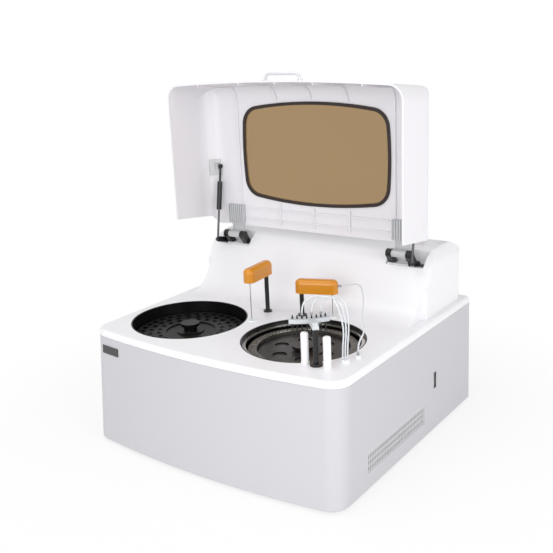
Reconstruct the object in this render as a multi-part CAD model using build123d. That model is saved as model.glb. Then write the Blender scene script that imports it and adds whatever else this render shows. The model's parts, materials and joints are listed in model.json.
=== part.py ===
from build123d import *
import math
import os

# Benchtop chemistry analyzer with its lid open at rest.
# Millimetres. +Z up, +X to the operator's right, +Y towards the back.
# Origin: middle of the footprint, on the bench.

# ---------------------------------------------------------------- case
foot_height = 6.0
foot_radius = 16.0
foot_x = 300.0
foot_front_y = -262.0
foot_back_y = 305.0
case_half_width = 362.0
case_front_y = -329.0
case_back_y = 357.0
front_bow = 28.0
front_lean = 22.0
side_draft = 4.0
front_corner_radius = 46.0
back_corner_radius = 15.0
case_top_z = 276.0
case_wall = 4.0
foot_bevel = 3.0
cover_seam = 0.6
fit_gap = 0.3
cut_over = 5.0
side_cut = 20.0

# ---------------------------------------------------------------- deck and hump
deck_z = 292.0
deck_edge_radius = 8.0
cover_wall = 4.0
hump_foot_y = 26.0
hump_foot_radius = 90.0
hump_slope = math.radians(56)
hump_brow_radius = 100.0
hump_top_z = 452.0
hump_back_y = 351.0
hump_back_radius = 80.0
hump_half_width = 340.0
hump_front_half_width = 328.0
hump_step_y = 127.0
hump_side_radius = 45.0
hump_corner_radius = 45.0

# ---------------------------------------------------------------- wells
well_radius = 147.0
sample_x = -186.0
sample_y = -141.0
reaction_x = 148.0
reaction_y = -126.0
tub_wall = 3.0
tub_bottom_z = 196.0
tub_floor = 3.0
tub_lip_drop = 0.6
tub_leg_circle = 100.0
tub_leg_radius = 8.0
rim_ring_width = 9.0
rim_ring_drop = 7.0
rim_ring_height = 5.0

# ---------------------------------------------------------------- carousels
spindle_radius = 8.0
running_gap = 0.05
hub_radius = 26.0
tray_radius = 138.0
tray_top_z = 262.0
tray_thickness = 14.0
cup_radius = 7.5
cup_counts = (32, 24, 20)
cup_row = 21.0
cup_floor = 2.0
tray_recess = 3.0
tray_recess_outer = 62.0
tray_recess_inner = 34.0
tray_knob_radius = 24.0
tray_knob_neck = 17.0
tray_knob_height = 20.0
disc_radius = 105.0
disc_top_z = 266.0
disc_thickness = 8.0
disc_pocket_count = 6
disc_pocket_circle = 62.0
disc_pocket_radius = 17.0
disc_pocket_depth = 3.0
disc_knob_radius = 27.0
disc_knob_neck = 20.0
disc_knob_height = 12.0
knob_cap = 6.0
cuvette_count = 72
cuvette_ring_inner = 109.0
cuvette_ring_outer = 129.0
cuvette_top_z = 274.0
cuvette_depth = 27.0
cuvette_floor = 2.0
cuvette_width = 6.4
cuvette_length = 13.0
ring_ledge_width = 8.0
ring_ledge_height = 6.0
motor_size = 56.0
motor_height = 58.0

# ---------------------------------------------------------------- inner chassis
pan_lift = 2.0
pan_thickness = 2.0
plate_z = 118.0
plate_thickness = 3.0
plate_half_width = 340.0
plate_front_y = -285.0
plate_back_y = 250.0
pillar_radius = 9.0
pillar_x = 325.0
pillar_front_y = -262.0
pillar_back_y = 225.0
supply_low = (-300.0, 118.0)
supply_high = (-98.0, 300.0)
supply_height = 62.0
supply_slot_count = 9
supply_slot_pitch = 20.0
supply_slot_width = 8.0
supply_slot_depth = 3.0
board_low = (-70.0, 40.0)
board_high = (190.0, 210.0)
board_lift = 12.0
board_thickness = 1.6
board_standoff_inset = 10.0
board_standoff_radius = 4.0

# ---------------------------------------------------------------- probe arms
arm_reach = 78.0
arm_end_radius = 15.0
arm_height = 35.0
arm_wall = 2.5
arm_edge_radius = 12.0
arm_plate = 3.0
column_radius = 5.5
needle_radius = 1.1
needle_tip_z = 296.5
pot_radius = 9.0
pot_bore = 5.0
pot_rim_height = 2.0
pot_rim = 3.0
pot_floor = 3.0
pot_depth = 78.0
collar_radius = 11.0
collar_height = 4.0
collar_lip = 3.0
left_post = (-43.0, -1.0)
left_arm_angle = -85.0
left_arm_z = 392.0
left_carriage_z = 246.0
right_post = (53.0, 14.0)
right_arm_angle = 20.0
right_arm_z = 353.0
right_carriage_z = 216.0
carriage_height = 18.0
rod_radius = 5.0
rod_spacing = 26.0
lift_back = 30.0
lift_half_width = 22.0
lift_front = 11.0
lift_plate = 8.0
lift_spine = 6.0
lift_rod_back = 21.0
carriage_half_width = 19.0

# ---------------------------------------------------------------- wash station
wash_post = (260.0, -246.0)
wash_post_radius = 6.0
wash_column_bottom_z = 214.0
wash_guide_radius = 9.5
wash_guide_bottom_z = 232.0
wash_foot_radius = 14.0
wash_foot_height = 5.0
wash_head_z = 374.0
wash_head_height = 9.0
wash_head_half_width = 9.0
wash_needle_count = 8
wash_needle_radius = 1.3
wash_needle_tip_z = 340.0
wash_needle_seat = 0.6
wash_head_end = 3.0
wash_bottle_offset = 28.0
wash_bottle_radius = 8.5
wash_bottle_top_z = 362.0
tube_radius = 1.8
port_place = (304.0, -200.0)
probe_port = (316.0, -166.0)
probe_port_radius = 6.5
port_radius = 11.0
port_height = 6.0
wash_tube_count = 3

# ---------------------------------------------------------------- lid, standing open
lid_half_width = 339.0
lid_wall = 4.0
lid_rim_y = 5.0
lid_back_y = 173.0
lid_top_z = 857.0
lid_top_bow = 11.0
lid_roof_drop = 16.0
lid_roof_spare = 1.0
lid_rim_corner = 38.0
lid_back_corner = 55.0
lid_side_front_z = 505.0
lid_side_back_z = 488.0
lid_back_bottom_z = 466.0
rib_width = 3.0
rib_depth = 5.0
rib_inner_low_z = 476.0
rib_outer_low_z = 530.0
rib_places = (-236.0, -107.0, 0.0, 107.0, 236.0)
shelf_places = (490.0, 519.0)

window_half_width = 212.0
window_side_bow = 7.0
window_bottom_z = 561.0
window_top_z = 782.0
window_bow = 19.0
window_corner = 45.0
gasket_face = 8.0
gasket_depth = 7.0
pane_thickness = 4.0

handle_y = 44.0
handle_half_width = 50.0
handle_rise = 17.5
handle_wire = 3.5
handle_bend = 14.0
handle_foot_radius = 7.0
handle_foot_height = 3.3

# ---------------------------------------------------------------- hinges and struts
hinge_y = 150.0
hinge_z = 442.0
hinge_x = 255.0
hinge_pin_radius = 4.0
hinge_half_length = 34.0
ear_thickness = 14.0
ear_radius = 11.0
knuckle_radius = 9.0
pocket_floor_z = 411.0
pocket_back_y = 196.0
pocket_inner_x = 214.0
pocket_outer_x = 316.0
hinge_plate_thickness = 4.0
leaf_thickness = 4.0
block_height = 50.0
block_depth = 12.0
block_groove_count = 7
block_groove_width = 2.5
block_groove_pitch = 7.0

strut_x = 300.0
strut_low_y = 126.0
strut_low_z = 428.0
strut_high_y = 157.0
strut_high_z = 629.0
strut_rod_radius = 3.0
strut_body_radius = 7.0
strut_body_length = 78.0
strut_neck = 42.0
strut_eye_radius = 6.0
strut_eye_thickness = 6.0
strut_pin_radius = 2.5
strut_plate = 3.0
strut_lid_plate_low_z = 604.0
strut_lid_plate_high_z = 648.0
strut_lid_plate_width = 22.0
strut_lid_ear_width = 9.0

# ---------------------------------------------------------------- right side and front details
vent_low_y = -211.0
vent_high_y = 72.0
vent_low_z = 46.0
vent_high_z = 92.0
vent_bars = 3
vent_slats = 36
vent_frame = 3.0
switch_y = 133.0
switch_z = 137.0
switch_height = 42.0
switch_width = 15.0
badge_low_x = -322.0
badge_high_x = -262.0
badge_low_z = 236.0
badge_high_z = 256.0
badge_thickness = 1.5
badge_glue = 0.05

# ---------------------------------------------------------------- rear
rear_half_width = 290.0
rear_low_z = 40.0
rear_high_z = 250.0
rear_panel_thickness = 2.0
rear_panel_lap = 14.0
screw_radius = 2.0
screw_head_radius = 3.6
screw_head_depth = 2.0
inlet_x = -230.0
inlet_z = 90.0
inlet_flange = (58.0, 38.0, 3.0)
inlet_body = (47.4, 27.4, 30.0)
inlet_socket = (24.0, 18.0, 16.0)
inlet_pin = (2.0, 4.0)
inlet_pin_pitch = 6.0
inlet_pin_rise = 2.5
data_x = -150.0
data_flange = (24.0, 20.0, 2.0)
data_body = (15.4, 13.4, 14.0)
data_socket = (12.0, 10.0, 9.0)
fluid_xs = (20.0, 62.0, 104.0, 146.0)
fluid_z = 90.0
fluid_body_radius = 6.0
fluid_bore_radius = 2.4
fluid_nut_radius = 9.0
fluid_nut_height = 3.5
fan_x = 205.0
fan_z = 180.0
fan_size = 92.0
fan_depth = 25.0
fan_bore = 43.0


sides = (-1, 1)


# ---------------------------------------------------------------- helpers
def block(low, high):
    size = [b - a for a, b in zip(low, high)]
    centre = [(a + b) / 2 for a, b in zip(low, high)]
    return Pos(*centre) * Box(*size)


def post(x, y, low_z, high_z, radius):
    return Pos(x, y, (low_z + high_z) / 2) * Cylinder(radius, high_z - low_z)


def bar_along_x(low_x, high_x, y, z, radius):
    return Pos((low_x + high_x) / 2, y, z) * Rot(0, 90, 0) * Cylinder(radius, high_x - low_x)


def bar_along_y(x, low_y, high_y, z, radius):
    return Pos(x, (low_y + high_y) / 2, z) * Rot(90, 0, 0) * Cylinder(radius, high_y - low_y)


def span_x(side, inner, outer):
    """Low and high x of a piece that lies between inner and outer on one side."""
    return (min(side * inner, side * outer), max(side * inner, side * outer))


def save(name, *solids):
    shape = solids[0] if len(solids) == 1 else Compound(children=list(solids))
    export_step(shape, f"parts/{name}.step")


def plan_face(half_width, front_y, back_y, bow, front_radius, back_radius):
    front = ThreePointArc((-half_width, front_y), (0, front_y - bow), (half_width, front_y))
    rest = Polyline((half_width, front_y), (half_width, back_y), (-half_width, back_y),
                    (-half_width, front_y))
    outline = make_face(front + rest)
    outline = fillet(outline.vertices().sort_by(Axis.Y)[:2], front_radius)
    return fillet(outline.vertices().sort_by(Axis.Y)[-2:], back_radius)


def case_plan(z, inset=0.0):
    """The outline of the case at height z, drawn in by inset."""
    rise = (z - foot_height) / (case_top_z - foot_height)
    face = plan_face(
        case_half_width - side_draft * rise - inset,
        case_front_y + front_lean * rise + inset,
        case_back_y - inset,
        front_bow,
        front_corner_radius - inset,
        back_corner_radius - inset,
    )
    return Pos(0, 0, z) * face


def case_side_x(z):
    return case_half_width - side_draft * (z - foot_height) / (case_top_z - foot_height)


def hump_profile(inset):
    """Side view of the hump, drawn in by inset, down to below the deck."""
    foot_radius_in = hump_foot_radius + inset
    brow_radius_in = hump_brow_radius - inset
    back_radius_in = hump_back_radius - inset
    foot_z = deck_z - inset
    top_z = hump_top_z - inset
    back_y = hump_back_y - inset
    sine, cosine = math.sin(hump_slope), math.cos(hump_slope)
    slope_low = (hump_foot_y + hump_foot_radius * sine + inset * sine,
                 deck_z + hump_foot_radius * (1 - cosine) - inset * cosine)
    slope_low_outer_z = deck_z + hump_foot_radius * (1 - cosine)
    slope_high_outer_z = hump_top_z - hump_brow_radius * (1 - cosine)
    run = (slope_high_outer_z - slope_low_outer_z) / math.tan(hump_slope)
    slope_high = (slope_low[0] + run, slope_low[1] + slope_high_outer_z - slope_low_outer_z)
    brow_end_y = slope_high[0] + brow_radius_in * sine
    half = hump_slope / 2
    foot_middle = (hump_foot_y + foot_radius_in * math.sin(half),
                   foot_z + foot_radius_in * (1 - math.cos(half)))
    brow_middle = (brow_end_y - brow_radius_in * math.sin(half),
                   top_z - brow_radius_in * (1 - math.cos(half)))
    corner = back_radius_in * (1 - math.sqrt(0.5))
    below_z = case_top_z + cover_seam
    outline = (
        ThreePointArc((hump_foot_y, foot_z), foot_middle, slope_low)
        + Line(slope_low, slope_high)
        + ThreePointArc(slope_high, brow_middle, (brow_end_y, top_z))
        + Line((brow_end_y, top_z), (back_y - back_radius_in, top_z))
        + ThreePointArc((back_y - back_radius_in, top_z), (back_y - corner, top_z - corner),
                        (back_y, top_z - back_radius_in))
        + Polyline((back_y, top_z - back_radius_in), (back_y, below_z), (hump_foot_y, below_z),
                   (hump_foot_y, foot_z))
    )
    return make_face(outline)


def hump_solid(inset):
    """The whole body of the hump, drawn in by inset."""
    half_width = hump_half_width - inset
    height = hump_top_z - inset - case_top_z
    depth = hump_back_y - case_front_y
    lengthwise = extrude(Plane.YZ * hump_profile(inset), half_width, both=True)
    front_view = Plane.XZ * Pos(0, case_top_z + height / 2) * Rectangle(2 * half_width, height)
    front_view = fillet(front_view.vertices().sort_by(Axis.Z)[-2:], hump_side_radius - inset)
    across = extrude(front_view, -case_back_y)
    plan = Pos(0, hump_back_y - inset - depth / 2) * Rectangle(2 * half_width, depth)
    plan = fillet(plan.vertices().sort_by(Axis.Y)[-2:], hump_corner_radius - inset)
    solid = lengthwise & across & extrude(Pos(0, 0, case_top_z) * plan, height)
    for side in sides:
        low_x, high_x = span_x(side, hump_front_half_width - inset, case_half_width)
        solid -= block((low_x, hump_foot_y - 1, deck_z - inset), (high_x, hump_step_y + inset, hump_top_z))
    return solid


# ---------------------------------------------------------------- case pieces
def make_base_pan():
    return extrude(case_plan(foot_height + pan_lift, case_wall + fit_gap), pan_thickness)


pan_top_z = foot_height + pan_lift + pan_thickness
foot_places = [(side * foot_x, y) for side in sides for y in (foot_front_y, foot_back_y)]


def make_feet():
    return [post(x, y, 0, foot_height + pan_lift, foot_radius) for x, y in foot_places]


screw_columns = [rear_half_width * share for share in (-0.9, -0.45, 0.0, 0.45, 0.9)]
screw_rows = (rear_low_z - rear_panel_lap / 2, rear_high_z + rear_panel_lap / 2)
rear_screw_places = [(x, z) for x in screw_columns for z in screw_rows]


def make_rear_wall(half_width):
    wall = block((-half_width, case_back_y - case_wall, foot_height), (half_width, case_back_y, case_top_z))
    wall -= block(
        (-rear_half_width, case_back_y - case_wall - 1, rear_low_z),
        (rear_half_width, case_back_y + 1, rear_high_z),
    )
    for x, z in rear_screw_places:
        wall -= bar_along_y(x, case_back_y - case_wall - 1, case_back_y + 1, z, screw_radius + 0.1)
        wall -= bar_along_y(x, case_back_y - screw_head_depth, case_back_y + 1, z, screw_head_radius + 0.1)
    return wall


def make_lower_housing():
    bevel_z = foot_height + foot_bevel
    outlines = [case_plan(foot_height, foot_bevel), case_plan(bevel_z), case_plan(case_top_z)]
    shell = loft(outlines, ruled=True)
    shell -= loft([case_plan(foot_height, case_wall), case_plan(case_top_z, case_wall)], ruled=True)
    wall_half_width = case_half_width - side_draft - back_corner_radius - 8
    shell -= block(
        (-wall_half_width, case_back_y - case_wall - 1, foot_height - 1),
        (wall_half_width, case_back_y + 1, case_top_z + 1),
    )
    shell += make_rear_wall(wall_half_width)
    shell -= block(
        (case_half_width - side_cut, vent_low_y, vent_low_z),
        (case_half_width + 1, vent_high_y, vent_high_z),
    )
    shell -= block(
        (case_half_width - side_cut, switch_y - switch_width / 2, switch_z - switch_height / 2),
        (case_half_width + 1, switch_y + switch_width / 2, switch_z + switch_height / 2),
    )
    return shell


panel_outer_y = case_back_y - case_wall
panel_inner_y = panel_outer_y - rear_panel_thickness


def rear_block(x, z, size, low_y, high_y, grow=0.0):
    """A block centred on x and z, with the width and height of size, from low_y to high_y."""
    half_width = size[0] / 2 + grow
    half_height = size[1] / 2 + grow
    return block((x - half_width, low_y, z - half_height), (x + half_width, high_y, z + half_height))


def make_rear_panel():
    lap = rear_panel_lap
    panel = block(
        (-rear_half_width - lap, panel_inner_y, rear_low_z - lap),
        (rear_half_width + lap, panel_outer_y, rear_high_z + lap),
    )
    panel -= rear_block(inlet_x, inlet_z, inlet_body, panel_inner_y - 1, panel_outer_y + 1, fit_gap)
    panel -= rear_block(data_x, inlet_z, data_body, panel_inner_y - 1, panel_outer_y + 1, fit_gap)
    for x in fluid_xs:
        panel -= bar_along_y(x, panel_inner_y - 1, panel_outer_y + 1, fluid_z, fluid_body_radius + fit_gap)
    slot_pitch = 9.0
    for step in range(-4, 5):
        height = math.sqrt(max(fan_bore ** 2 - (step * slot_pitch) ** 2, 0)) - 2
        if height > 6:
            x = fan_x + step * slot_pitch
            panel -= rear_block(x, fan_z, (6.0, 2 * height), panel_inner_y - 1, panel_outer_y + 1)
    for x, z in rear_screw_places:
        panel -= bar_along_y(x, panel_inner_y - 1, panel_outer_y + 1, z, screw_radius)
    return panel


def make_rear_screws():
    screws = []
    for x, z in rear_screw_places:
        head_low = case_back_y - screw_head_depth
        head = bar_along_y(x, head_low, case_back_y, z, screw_head_radius)
        head -= block((x - 3, case_back_y - 0.9, z - 0.5), (x + 3, case_back_y + 1, z + 0.5))
        shank = bar_along_y(x, panel_inner_y - 6, head_low, z, screw_radius)
        screws.append(head + shank)
    return screws


def make_mains_inlet():
    inlet = rear_block(inlet_x, inlet_z, inlet_flange, panel_outer_y, panel_outer_y + inlet_flange[2])
    inlet += rear_block(inlet_x, inlet_z, inlet_body, panel_outer_y - inlet_body[2], panel_outer_y)
    socket_low = panel_outer_y - inlet_socket[2]
    inlet -= rear_block(inlet_x, inlet_z, inlet_socket, socket_low, panel_outer_y + cut_over)
    for step in (-1, 0, 1):
        x = inlet_x + step * inlet_pin_pitch
        z = inlet_z + (inlet_pin_rise if step == 0 else -inlet_pin_rise)
        inlet += rear_block(x, z, inlet_pin, socket_low - 1, panel_outer_y - 2)
    return inlet


def make_rear_ports():
    data = rear_block(data_x, inlet_z, data_flange, panel_outer_y, panel_outer_y + data_flange[2])
    data += rear_block(data_x, inlet_z, data_body, panel_outer_y - data_body[2], panel_outer_y)
    data -= rear_block(data_x, inlet_z, data_socket, panel_outer_y - data_socket[2], panel_outer_y + cut_over)
    ports = [data]
    for x in fluid_xs:
        nut = Plane.XZ.offset(-panel_outer_y) * Pos(x, fluid_z) * RegularPolygon(fluid_nut_radius, 6)
        port = extrude(nut, -fluid_nut_height)
        port += bar_along_y(x, panel_outer_y - 16, panel_outer_y + 0.1, fluid_z, fluid_body_radius)
        port -= bar_along_y(x, panel_outer_y - 17, panel_outer_y + cut_over, fluid_z, fluid_bore_radius)
        ports.append(port)
    return ports


def make_fan():
    half = fan_size / 2
    back_y = panel_inner_y
    front_y = back_y - fan_depth
    frame = block((fan_x - half, front_y, fan_z - half), (fan_x + half, back_y, fan_z + half))
    frame -= bar_along_y(fan_x, front_y - 1, back_y + 1, fan_z, fan_bore)
    spider_y = front_y + 3
    for angle in (0, 60, 120):
        arm = Box(2 * fan_bore + 2, 3, 3)
        frame += Pos(fan_x, front_y + 1.5, fan_z) * Rot(0, angle, 0) * arm
    frame += bar_along_y(fan_x, front_y, spider_y, fan_z, 17.0)
    frame += bar_along_y(fan_x, spider_y, back_y - 6, fan_z, 3.0)
    hub = bar_along_y(fan_x, spider_y + 1, back_y - 2, fan_z, 16.0)
    blade_count = 7
    for step in range(blade_count):
        angle = 360 / blade_count * step
        blade = Pos(0, 0, 27.5) * Rot(0, 0, 35) * Box(2.0, 15.0, 25.0)
        hub += Pos(fan_x, (spider_y + 1 + back_y - 2) / 2, fan_z) * Rot(0, angle, 0) * blade
    hub -= bar_along_y(fan_x, spider_y - 1, back_y - 5.9, fan_z, 3.0 + running_gap)
    return frame, hub


def make_side_vent():
    outer_x = case_side_x(vent_high_z) - 0.5
    inner_x = outer_x - 6
    gap = fit_gap
    grille = block((inner_x, vent_low_y + gap, vent_low_z + gap),
                   (outer_x, vent_high_y - gap, vent_high_z - gap))
    length = vent_high_y - vent_low_y - 2 * gap - 2 * vent_frame
    pitch = length / vent_slats
    slot_width = pitch * 0.55
    usable = vent_high_z - vent_low_z - 2 * gap - 2 * vent_frame
    row_height = (usable - (vent_bars - 1) * vent_frame) / vent_bars
    for slat in range(vent_slats):
        y = vent_low_y + gap + vent_frame + pitch * (slat + 0.5)
        for row in range(vent_bars):
            z = vent_low_z + gap + vent_frame + row * (row_height + vent_frame)
            grille -= block((inner_x - 1, y - slot_width / 2, z),
                            (outer_x + 1, y + slot_width / 2, z + row_height))
    return grille


def make_switch():
    outer_x = case_side_x(switch_z) - 1.0
    half_y = switch_width / 2 - fit_gap
    half_z = switch_height / 2 - fit_gap
    bezel = block(
        (outer_x - 16, switch_y - half_y, switch_z - half_z),
        (outer_x, switch_y + half_y, switch_z + half_z),
    )
    bezel -= block(
        (outer_x - 13, switch_y - half_y + 2, switch_z - half_z + 3),
        (outer_x + 1, switch_y + half_y - 2, switch_z + half_z - 3),
    )
    pivot_x = outer_x - 6
    pin_radius = 1.5
    bezel += bar_along_y(pivot_x, switch_y - half_y + 1, switch_y + half_y - 1, switch_z, pin_radius)
    rocker_half_y = half_y - 2 - fit_gap
    length = half_z - 3 - 1.6
    rocker = block((pivot_x - 3, switch_y - rocker_half_y, switch_z - length),
                   (outer_x - 0.5, switch_y + rocker_half_y, switch_z + length))
    rocker -= bar_along_y(pivot_x, switch_y - half_y, switch_y + half_y, switch_z, pin_radius + running_gap)
    return bezel, rocker


def make_badge():
    skins = []
    for proud in (badge_thickness, badge_glue):
        sections = [case_plan(z, -proud) for z in (foot_height + foot_bevel, case_top_z)]
        skins.append(loft(sections, ruled=True))
    window = block(
        (badge_low_x, case_front_y - 2 * front_bow, badge_low_z),
        (badge_high_x, case_front_y + 2 * front_bow, badge_high_z),
    )
    return (skins[0] - skins[1]) & window


# ---------------------------------------------------------------- top cover
def make_hinge_pocket(side):
    """The trough that a hinge and a strut foot stand in: its walls, and the room inside them."""
    front_y = hinge_y - 60
    low_x, high_x = span_x(side, pocket_inner_x, pocket_outer_x)
    room = block((low_x, front_y - 10, pocket_floor_z), (high_x, pocket_back_y, hump_top_z + cut_over))
    low_x, high_x = span_x(side, pocket_inner_x - cover_wall, pocket_outer_x + cover_wall)
    walls = block((low_x, front_y, pocket_floor_z - cover_wall),
                  (high_x, pocket_back_y + cover_wall, hump_top_z))
    return walls - room, room


def make_top_cover():
    low_z = case_top_z + cover_seam
    under_z = deck_z - cover_wall
    slab = extrude(Pos(0, 0, cover_seam) * case_plan(case_top_z), deck_z - low_z)
    slab = fillet(slab.edges().group_by(Axis.Z)[-1], deck_edge_radius)
    cover = slab + hump_solid(0.0)
    cover -= extrude(Pos(0, 0, -1) * case_plan(case_top_z, cover_wall), under_z - case_top_z + 1)
    cover -= hump_solid(cover_wall)
    face_radius = pot_radius + pot_rim + fit_gap
    boss = post(*pot_places[1], under_z, deck_z + cut_over, face_radius + cover_wall)
    cover += boss & hump_solid(0.0)
    cover -= post(*pot_places[1], deck_z, deck_z + 2 * cut_over, face_radius)
    holes = [(place, well_radius) for place in (sample_place, reaction_place)]
    holes += [(place, collar_radius - collar_lip) for place in (left_post, right_post)]
    holes += [(place, pot_radius + fit_gap) for place in pot_places]
    holes += [(place, radius - collar_lip) for place, radius in tube_ports]
    holes.append((wash_post, wash_guide_radius + fit_gap))
    for place, radius in holes:
        cover -= post(*place, case_top_z - cut_over, deck_z + cut_over, radius)
    for side in sides:
        walls, room = make_hinge_pocket(side)
        cover -= room
        cover += walls & hump_solid(0.0)
    return cover


# ---------------------------------------------------------------- chassis
pillar_places = [(x, y) for x in (-pillar_x, 0, pillar_x) for y in (pillar_front_y, pillar_back_y)]


def make_module_plate():
    plate = block(
        (-plate_half_width, plate_front_y, plate_z),
        (plate_half_width, plate_back_y, plate_z + plate_thickness),
    )
    for place in (sample_place, reaction_place):
        plate -= post(*place, plate_z - 1, plate_z + plate_thickness + 1, spindle_radius + 6)
    return plate


def make_pillars():
    return [post(x, y, pan_top_z, plate_z, pillar_radius) for x, y in pillar_places]


def make_power_supply():
    front_y = supply_low[1]
    body = block((*supply_low, pan_top_z), (*supply_high, pan_top_z + supply_height))
    for step in range(supply_slot_count):
        x = supply_low[0] + supply_slot_pitch * (step + 1)
        body -= block(
            (x, front_y - 1, pan_top_z + supply_height * 0.22),
            (x + supply_slot_width, front_y + supply_slot_depth, pan_top_z + supply_height * 0.78),
        )
    return body


# Middle x and y, width, depth and height of each package on the board.
board_chips = (
    (-20, 90, 34, 34, 4), (50, 90, 26, 26, 5), (120, 90, 40, 22, 14),
    (-10, 160, 60, 14, 12), (90, 165, 70, 16, 12), (160, 140, 18, 30, 18),
)


def make_control_board():
    low_z = pan_top_z + board_lift
    high_z = low_z + board_thickness
    board = block((*board_low, low_z), (*board_high, high_z))
    for x in (board_low[0] + board_standoff_inset, board_high[0] - board_standoff_inset):
        for y in (board_low[1] + board_standoff_inset, board_high[1] - board_standoff_inset):
            board += post(x, y, pan_top_z, low_z + 0.1, board_standoff_radius)
    for x, y, width, depth, height in board_chips:
        board += block((x - width / 2, y - depth / 2, high_z - 0.1),
                       (x + width / 2, y + depth / 2, high_z + height))
    return board


# ---------------------------------------------------------------- wells and carousels
sample_place = (sample_x, sample_y)
reaction_place = (reaction_x, reaction_y)
tub_radius = well_radius - fit_gap
tub_top_z = deck_z - tub_lip_drop
plate_top_z = plate_z + plate_thickness


def make_tub(x, y):
    tub = post(x, y, tub_bottom_z, tub_top_z, tub_radius)
    tub -= post(x, y, tub_bottom_z + tub_floor, tub_top_z + 1, tub_radius - tub_wall)
    tub -= post(x, y, tub_bottom_z - 1, tub_bottom_z + tub_floor + 1, spindle_radius + 4)
    for step in range(4):
        angle = math.radians(45 + 90 * step)
        leg_x = x + tub_leg_circle * math.cos(angle)
        leg_y = y + tub_leg_circle * math.sin(angle)
        tub += post(leg_x, leg_y, plate_top_z, tub_bottom_z + 0.1, tub_leg_radius)
    return tub


def make_rim_ring():
    high_z = tub_top_z - rim_ring_drop
    low_z = high_z - rim_ring_height
    outer = tub_radius - tub_wall - fit_gap
    ring = post(reaction_x, reaction_y, low_z, high_z, outer)
    ring -= post(reaction_x, reaction_y, low_z - 1, high_z + 1, outer - rim_ring_width)
    return ring


def make_motor(x, y):
    half = motor_size / 2
    motor = block((x - half, y - half, plate_top_z), (x + half, y + half, plate_top_z + motor_height))
    motor = chamfer(motor.edges().filter_by(Axis.Z), 5)
    motor -= post(x, y, plate_top_z + 6, plate_top_z + motor_height + 1, spindle_radius + running_gap)
    return motor


def make_spindle(x, y, seat_z):
    spindle = post(x, y, plate_top_z + 8, seat_z, spindle_radius)
    spindle += post(x, y, seat_z - 6, seat_z, hub_radius)
    return spindle


def make_tray():
    low_z = tray_top_z - tray_thickness
    floor_z = tray_top_z - tray_recess
    tray = post(*sample_place, low_z, tray_top_z, tray_radius)
    recess = post(*sample_place, floor_z, tray_top_z + 1, tray_recess_outer)
    recess -= post(*sample_place, floor_z, tray_top_z + 1, tray_recess_inner)
    tray -= recess
    for row, count in enumerate(cup_counts):
        for index in range(count):
            x, y = along(sample_place, cup_start + 360 * index / count, cup_circle - row * cup_row)
            tray -= post(x, y, low_z + cup_floor, tray_top_z + 1, cup_radius)
    knob_top_z = tray_top_z + tray_knob_height
    tray += post(*sample_place, tray_top_z - 1, knob_top_z - knob_cap, tray_knob_neck)
    tray += post(*sample_place, knob_top_z - knob_cap - 1, knob_top_z, tray_knob_radius)
    return tray


def make_reaction_disc():
    low_z = disc_top_z - disc_thickness
    disc = post(*reaction_place, low_z, disc_top_z, disc_radius)
    disc += post(*reaction_place, low_z, low_z + 3, cuvette_ring_inner - fit_gap)
    for step in range(disc_pocket_count):
        x, y = along(reaction_place, 360 * step / disc_pocket_count, disc_pocket_circle)
        disc -= post(x, y, disc_top_z - disc_pocket_depth, disc_top_z + 1, disc_pocket_radius)
    knob_top_z = disc_top_z + disc_knob_height
    disc += post(*reaction_place, disc_top_z - 1, knob_top_z - knob_cap + 1, disc_knob_neck)
    disc += post(*reaction_place, knob_top_z - knob_cap, knob_top_z, disc_knob_radius)
    return disc


def make_cuvette_ring():
    low_z = cuvette_top_z - cuvette_depth
    ring = post(*reaction_place, low_z, cuvette_top_z, cuvette_ring_outer)
    ring -= post(*reaction_place, low_z - 1, cuvette_top_z + 1, cuvette_ring_inner)
    ledge_high = disc_top_z - disc_thickness - fit_gap
    ledge_low = ledge_high - ring_ledge_height
    ledge = post(*reaction_place, ledge_low, ledge_high, cuvette_ring_inner + 1)
    ledge -= post(*reaction_place, ledge_low - 1, ledge_high + 1, cuvette_ring_inner - ring_ledge_width)
    ring += ledge
    pocket = block((-cuvette_length / 2, -cuvette_width / 2, low_z + cuvette_floor),
                   (cuvette_length / 2, cuvette_width / 2, cuvette_top_z + 1))
    pockets = []
    for index in range(cuvette_count):
        angle = cuvette_start + cuvette_pitch * index
        pockets.append(Pos(*reaction_place, 0) * Rot(0, 0, angle) * Pos(cuvette_middle, 0, 0) * pocket)
    return ring - pockets


# ---------------------------------------------------------------- probe arms
def along(place, angle, distance):
    turn = math.radians(angle)
    return (place[0] + distance * math.cos(turn), place[1] + distance * math.sin(turn))


def direction(place, target):
    return math.degrees(math.atan2(target[1] - place[1], target[0] - place[0]))


# The cups and the cuvettes stand where the needles come down at the end of each arm's swing.
cup_start = direction(sample_place, left_post)
cup_circle = math.dist(sample_place, left_post) - arm_reach
left_swing_low = direction(left_post, sample_place) - left_arm_angle
cuvette_middle = (cuvette_ring_inner + cuvette_ring_outer) / 2
cuvette_pitch = 360 / cuvette_count
post_gap = math.dist(right_post, reaction_place)
arm_spread = math.acos((post_gap ** 2 + arm_reach ** 2 - cuvette_middle ** 2) / (2 * post_gap * arm_reach))
right_swing_low = direction(right_post, reaction_place) - math.degrees(arm_spread) - right_arm_angle
right_needle_low = along(right_post, right_arm_angle + right_swing_low, arm_reach)
cuvette_start = direction(reaction_place, right_needle_low) % cuvette_pitch
pot_places = [along(left_post, left_arm_angle, arm_reach), along(right_post, right_arm_angle, arm_reach)]


def capsule(place, angle, radius, low_z, height):
    face = SlotCenterToCenter(arm_reach, 2 * radius)
    solid = extrude(Pos(arm_reach / 2, 0, 0) * face, height)
    return Pos(place[0], place[1], low_z) * Rot(0, 0, angle) * solid


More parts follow.
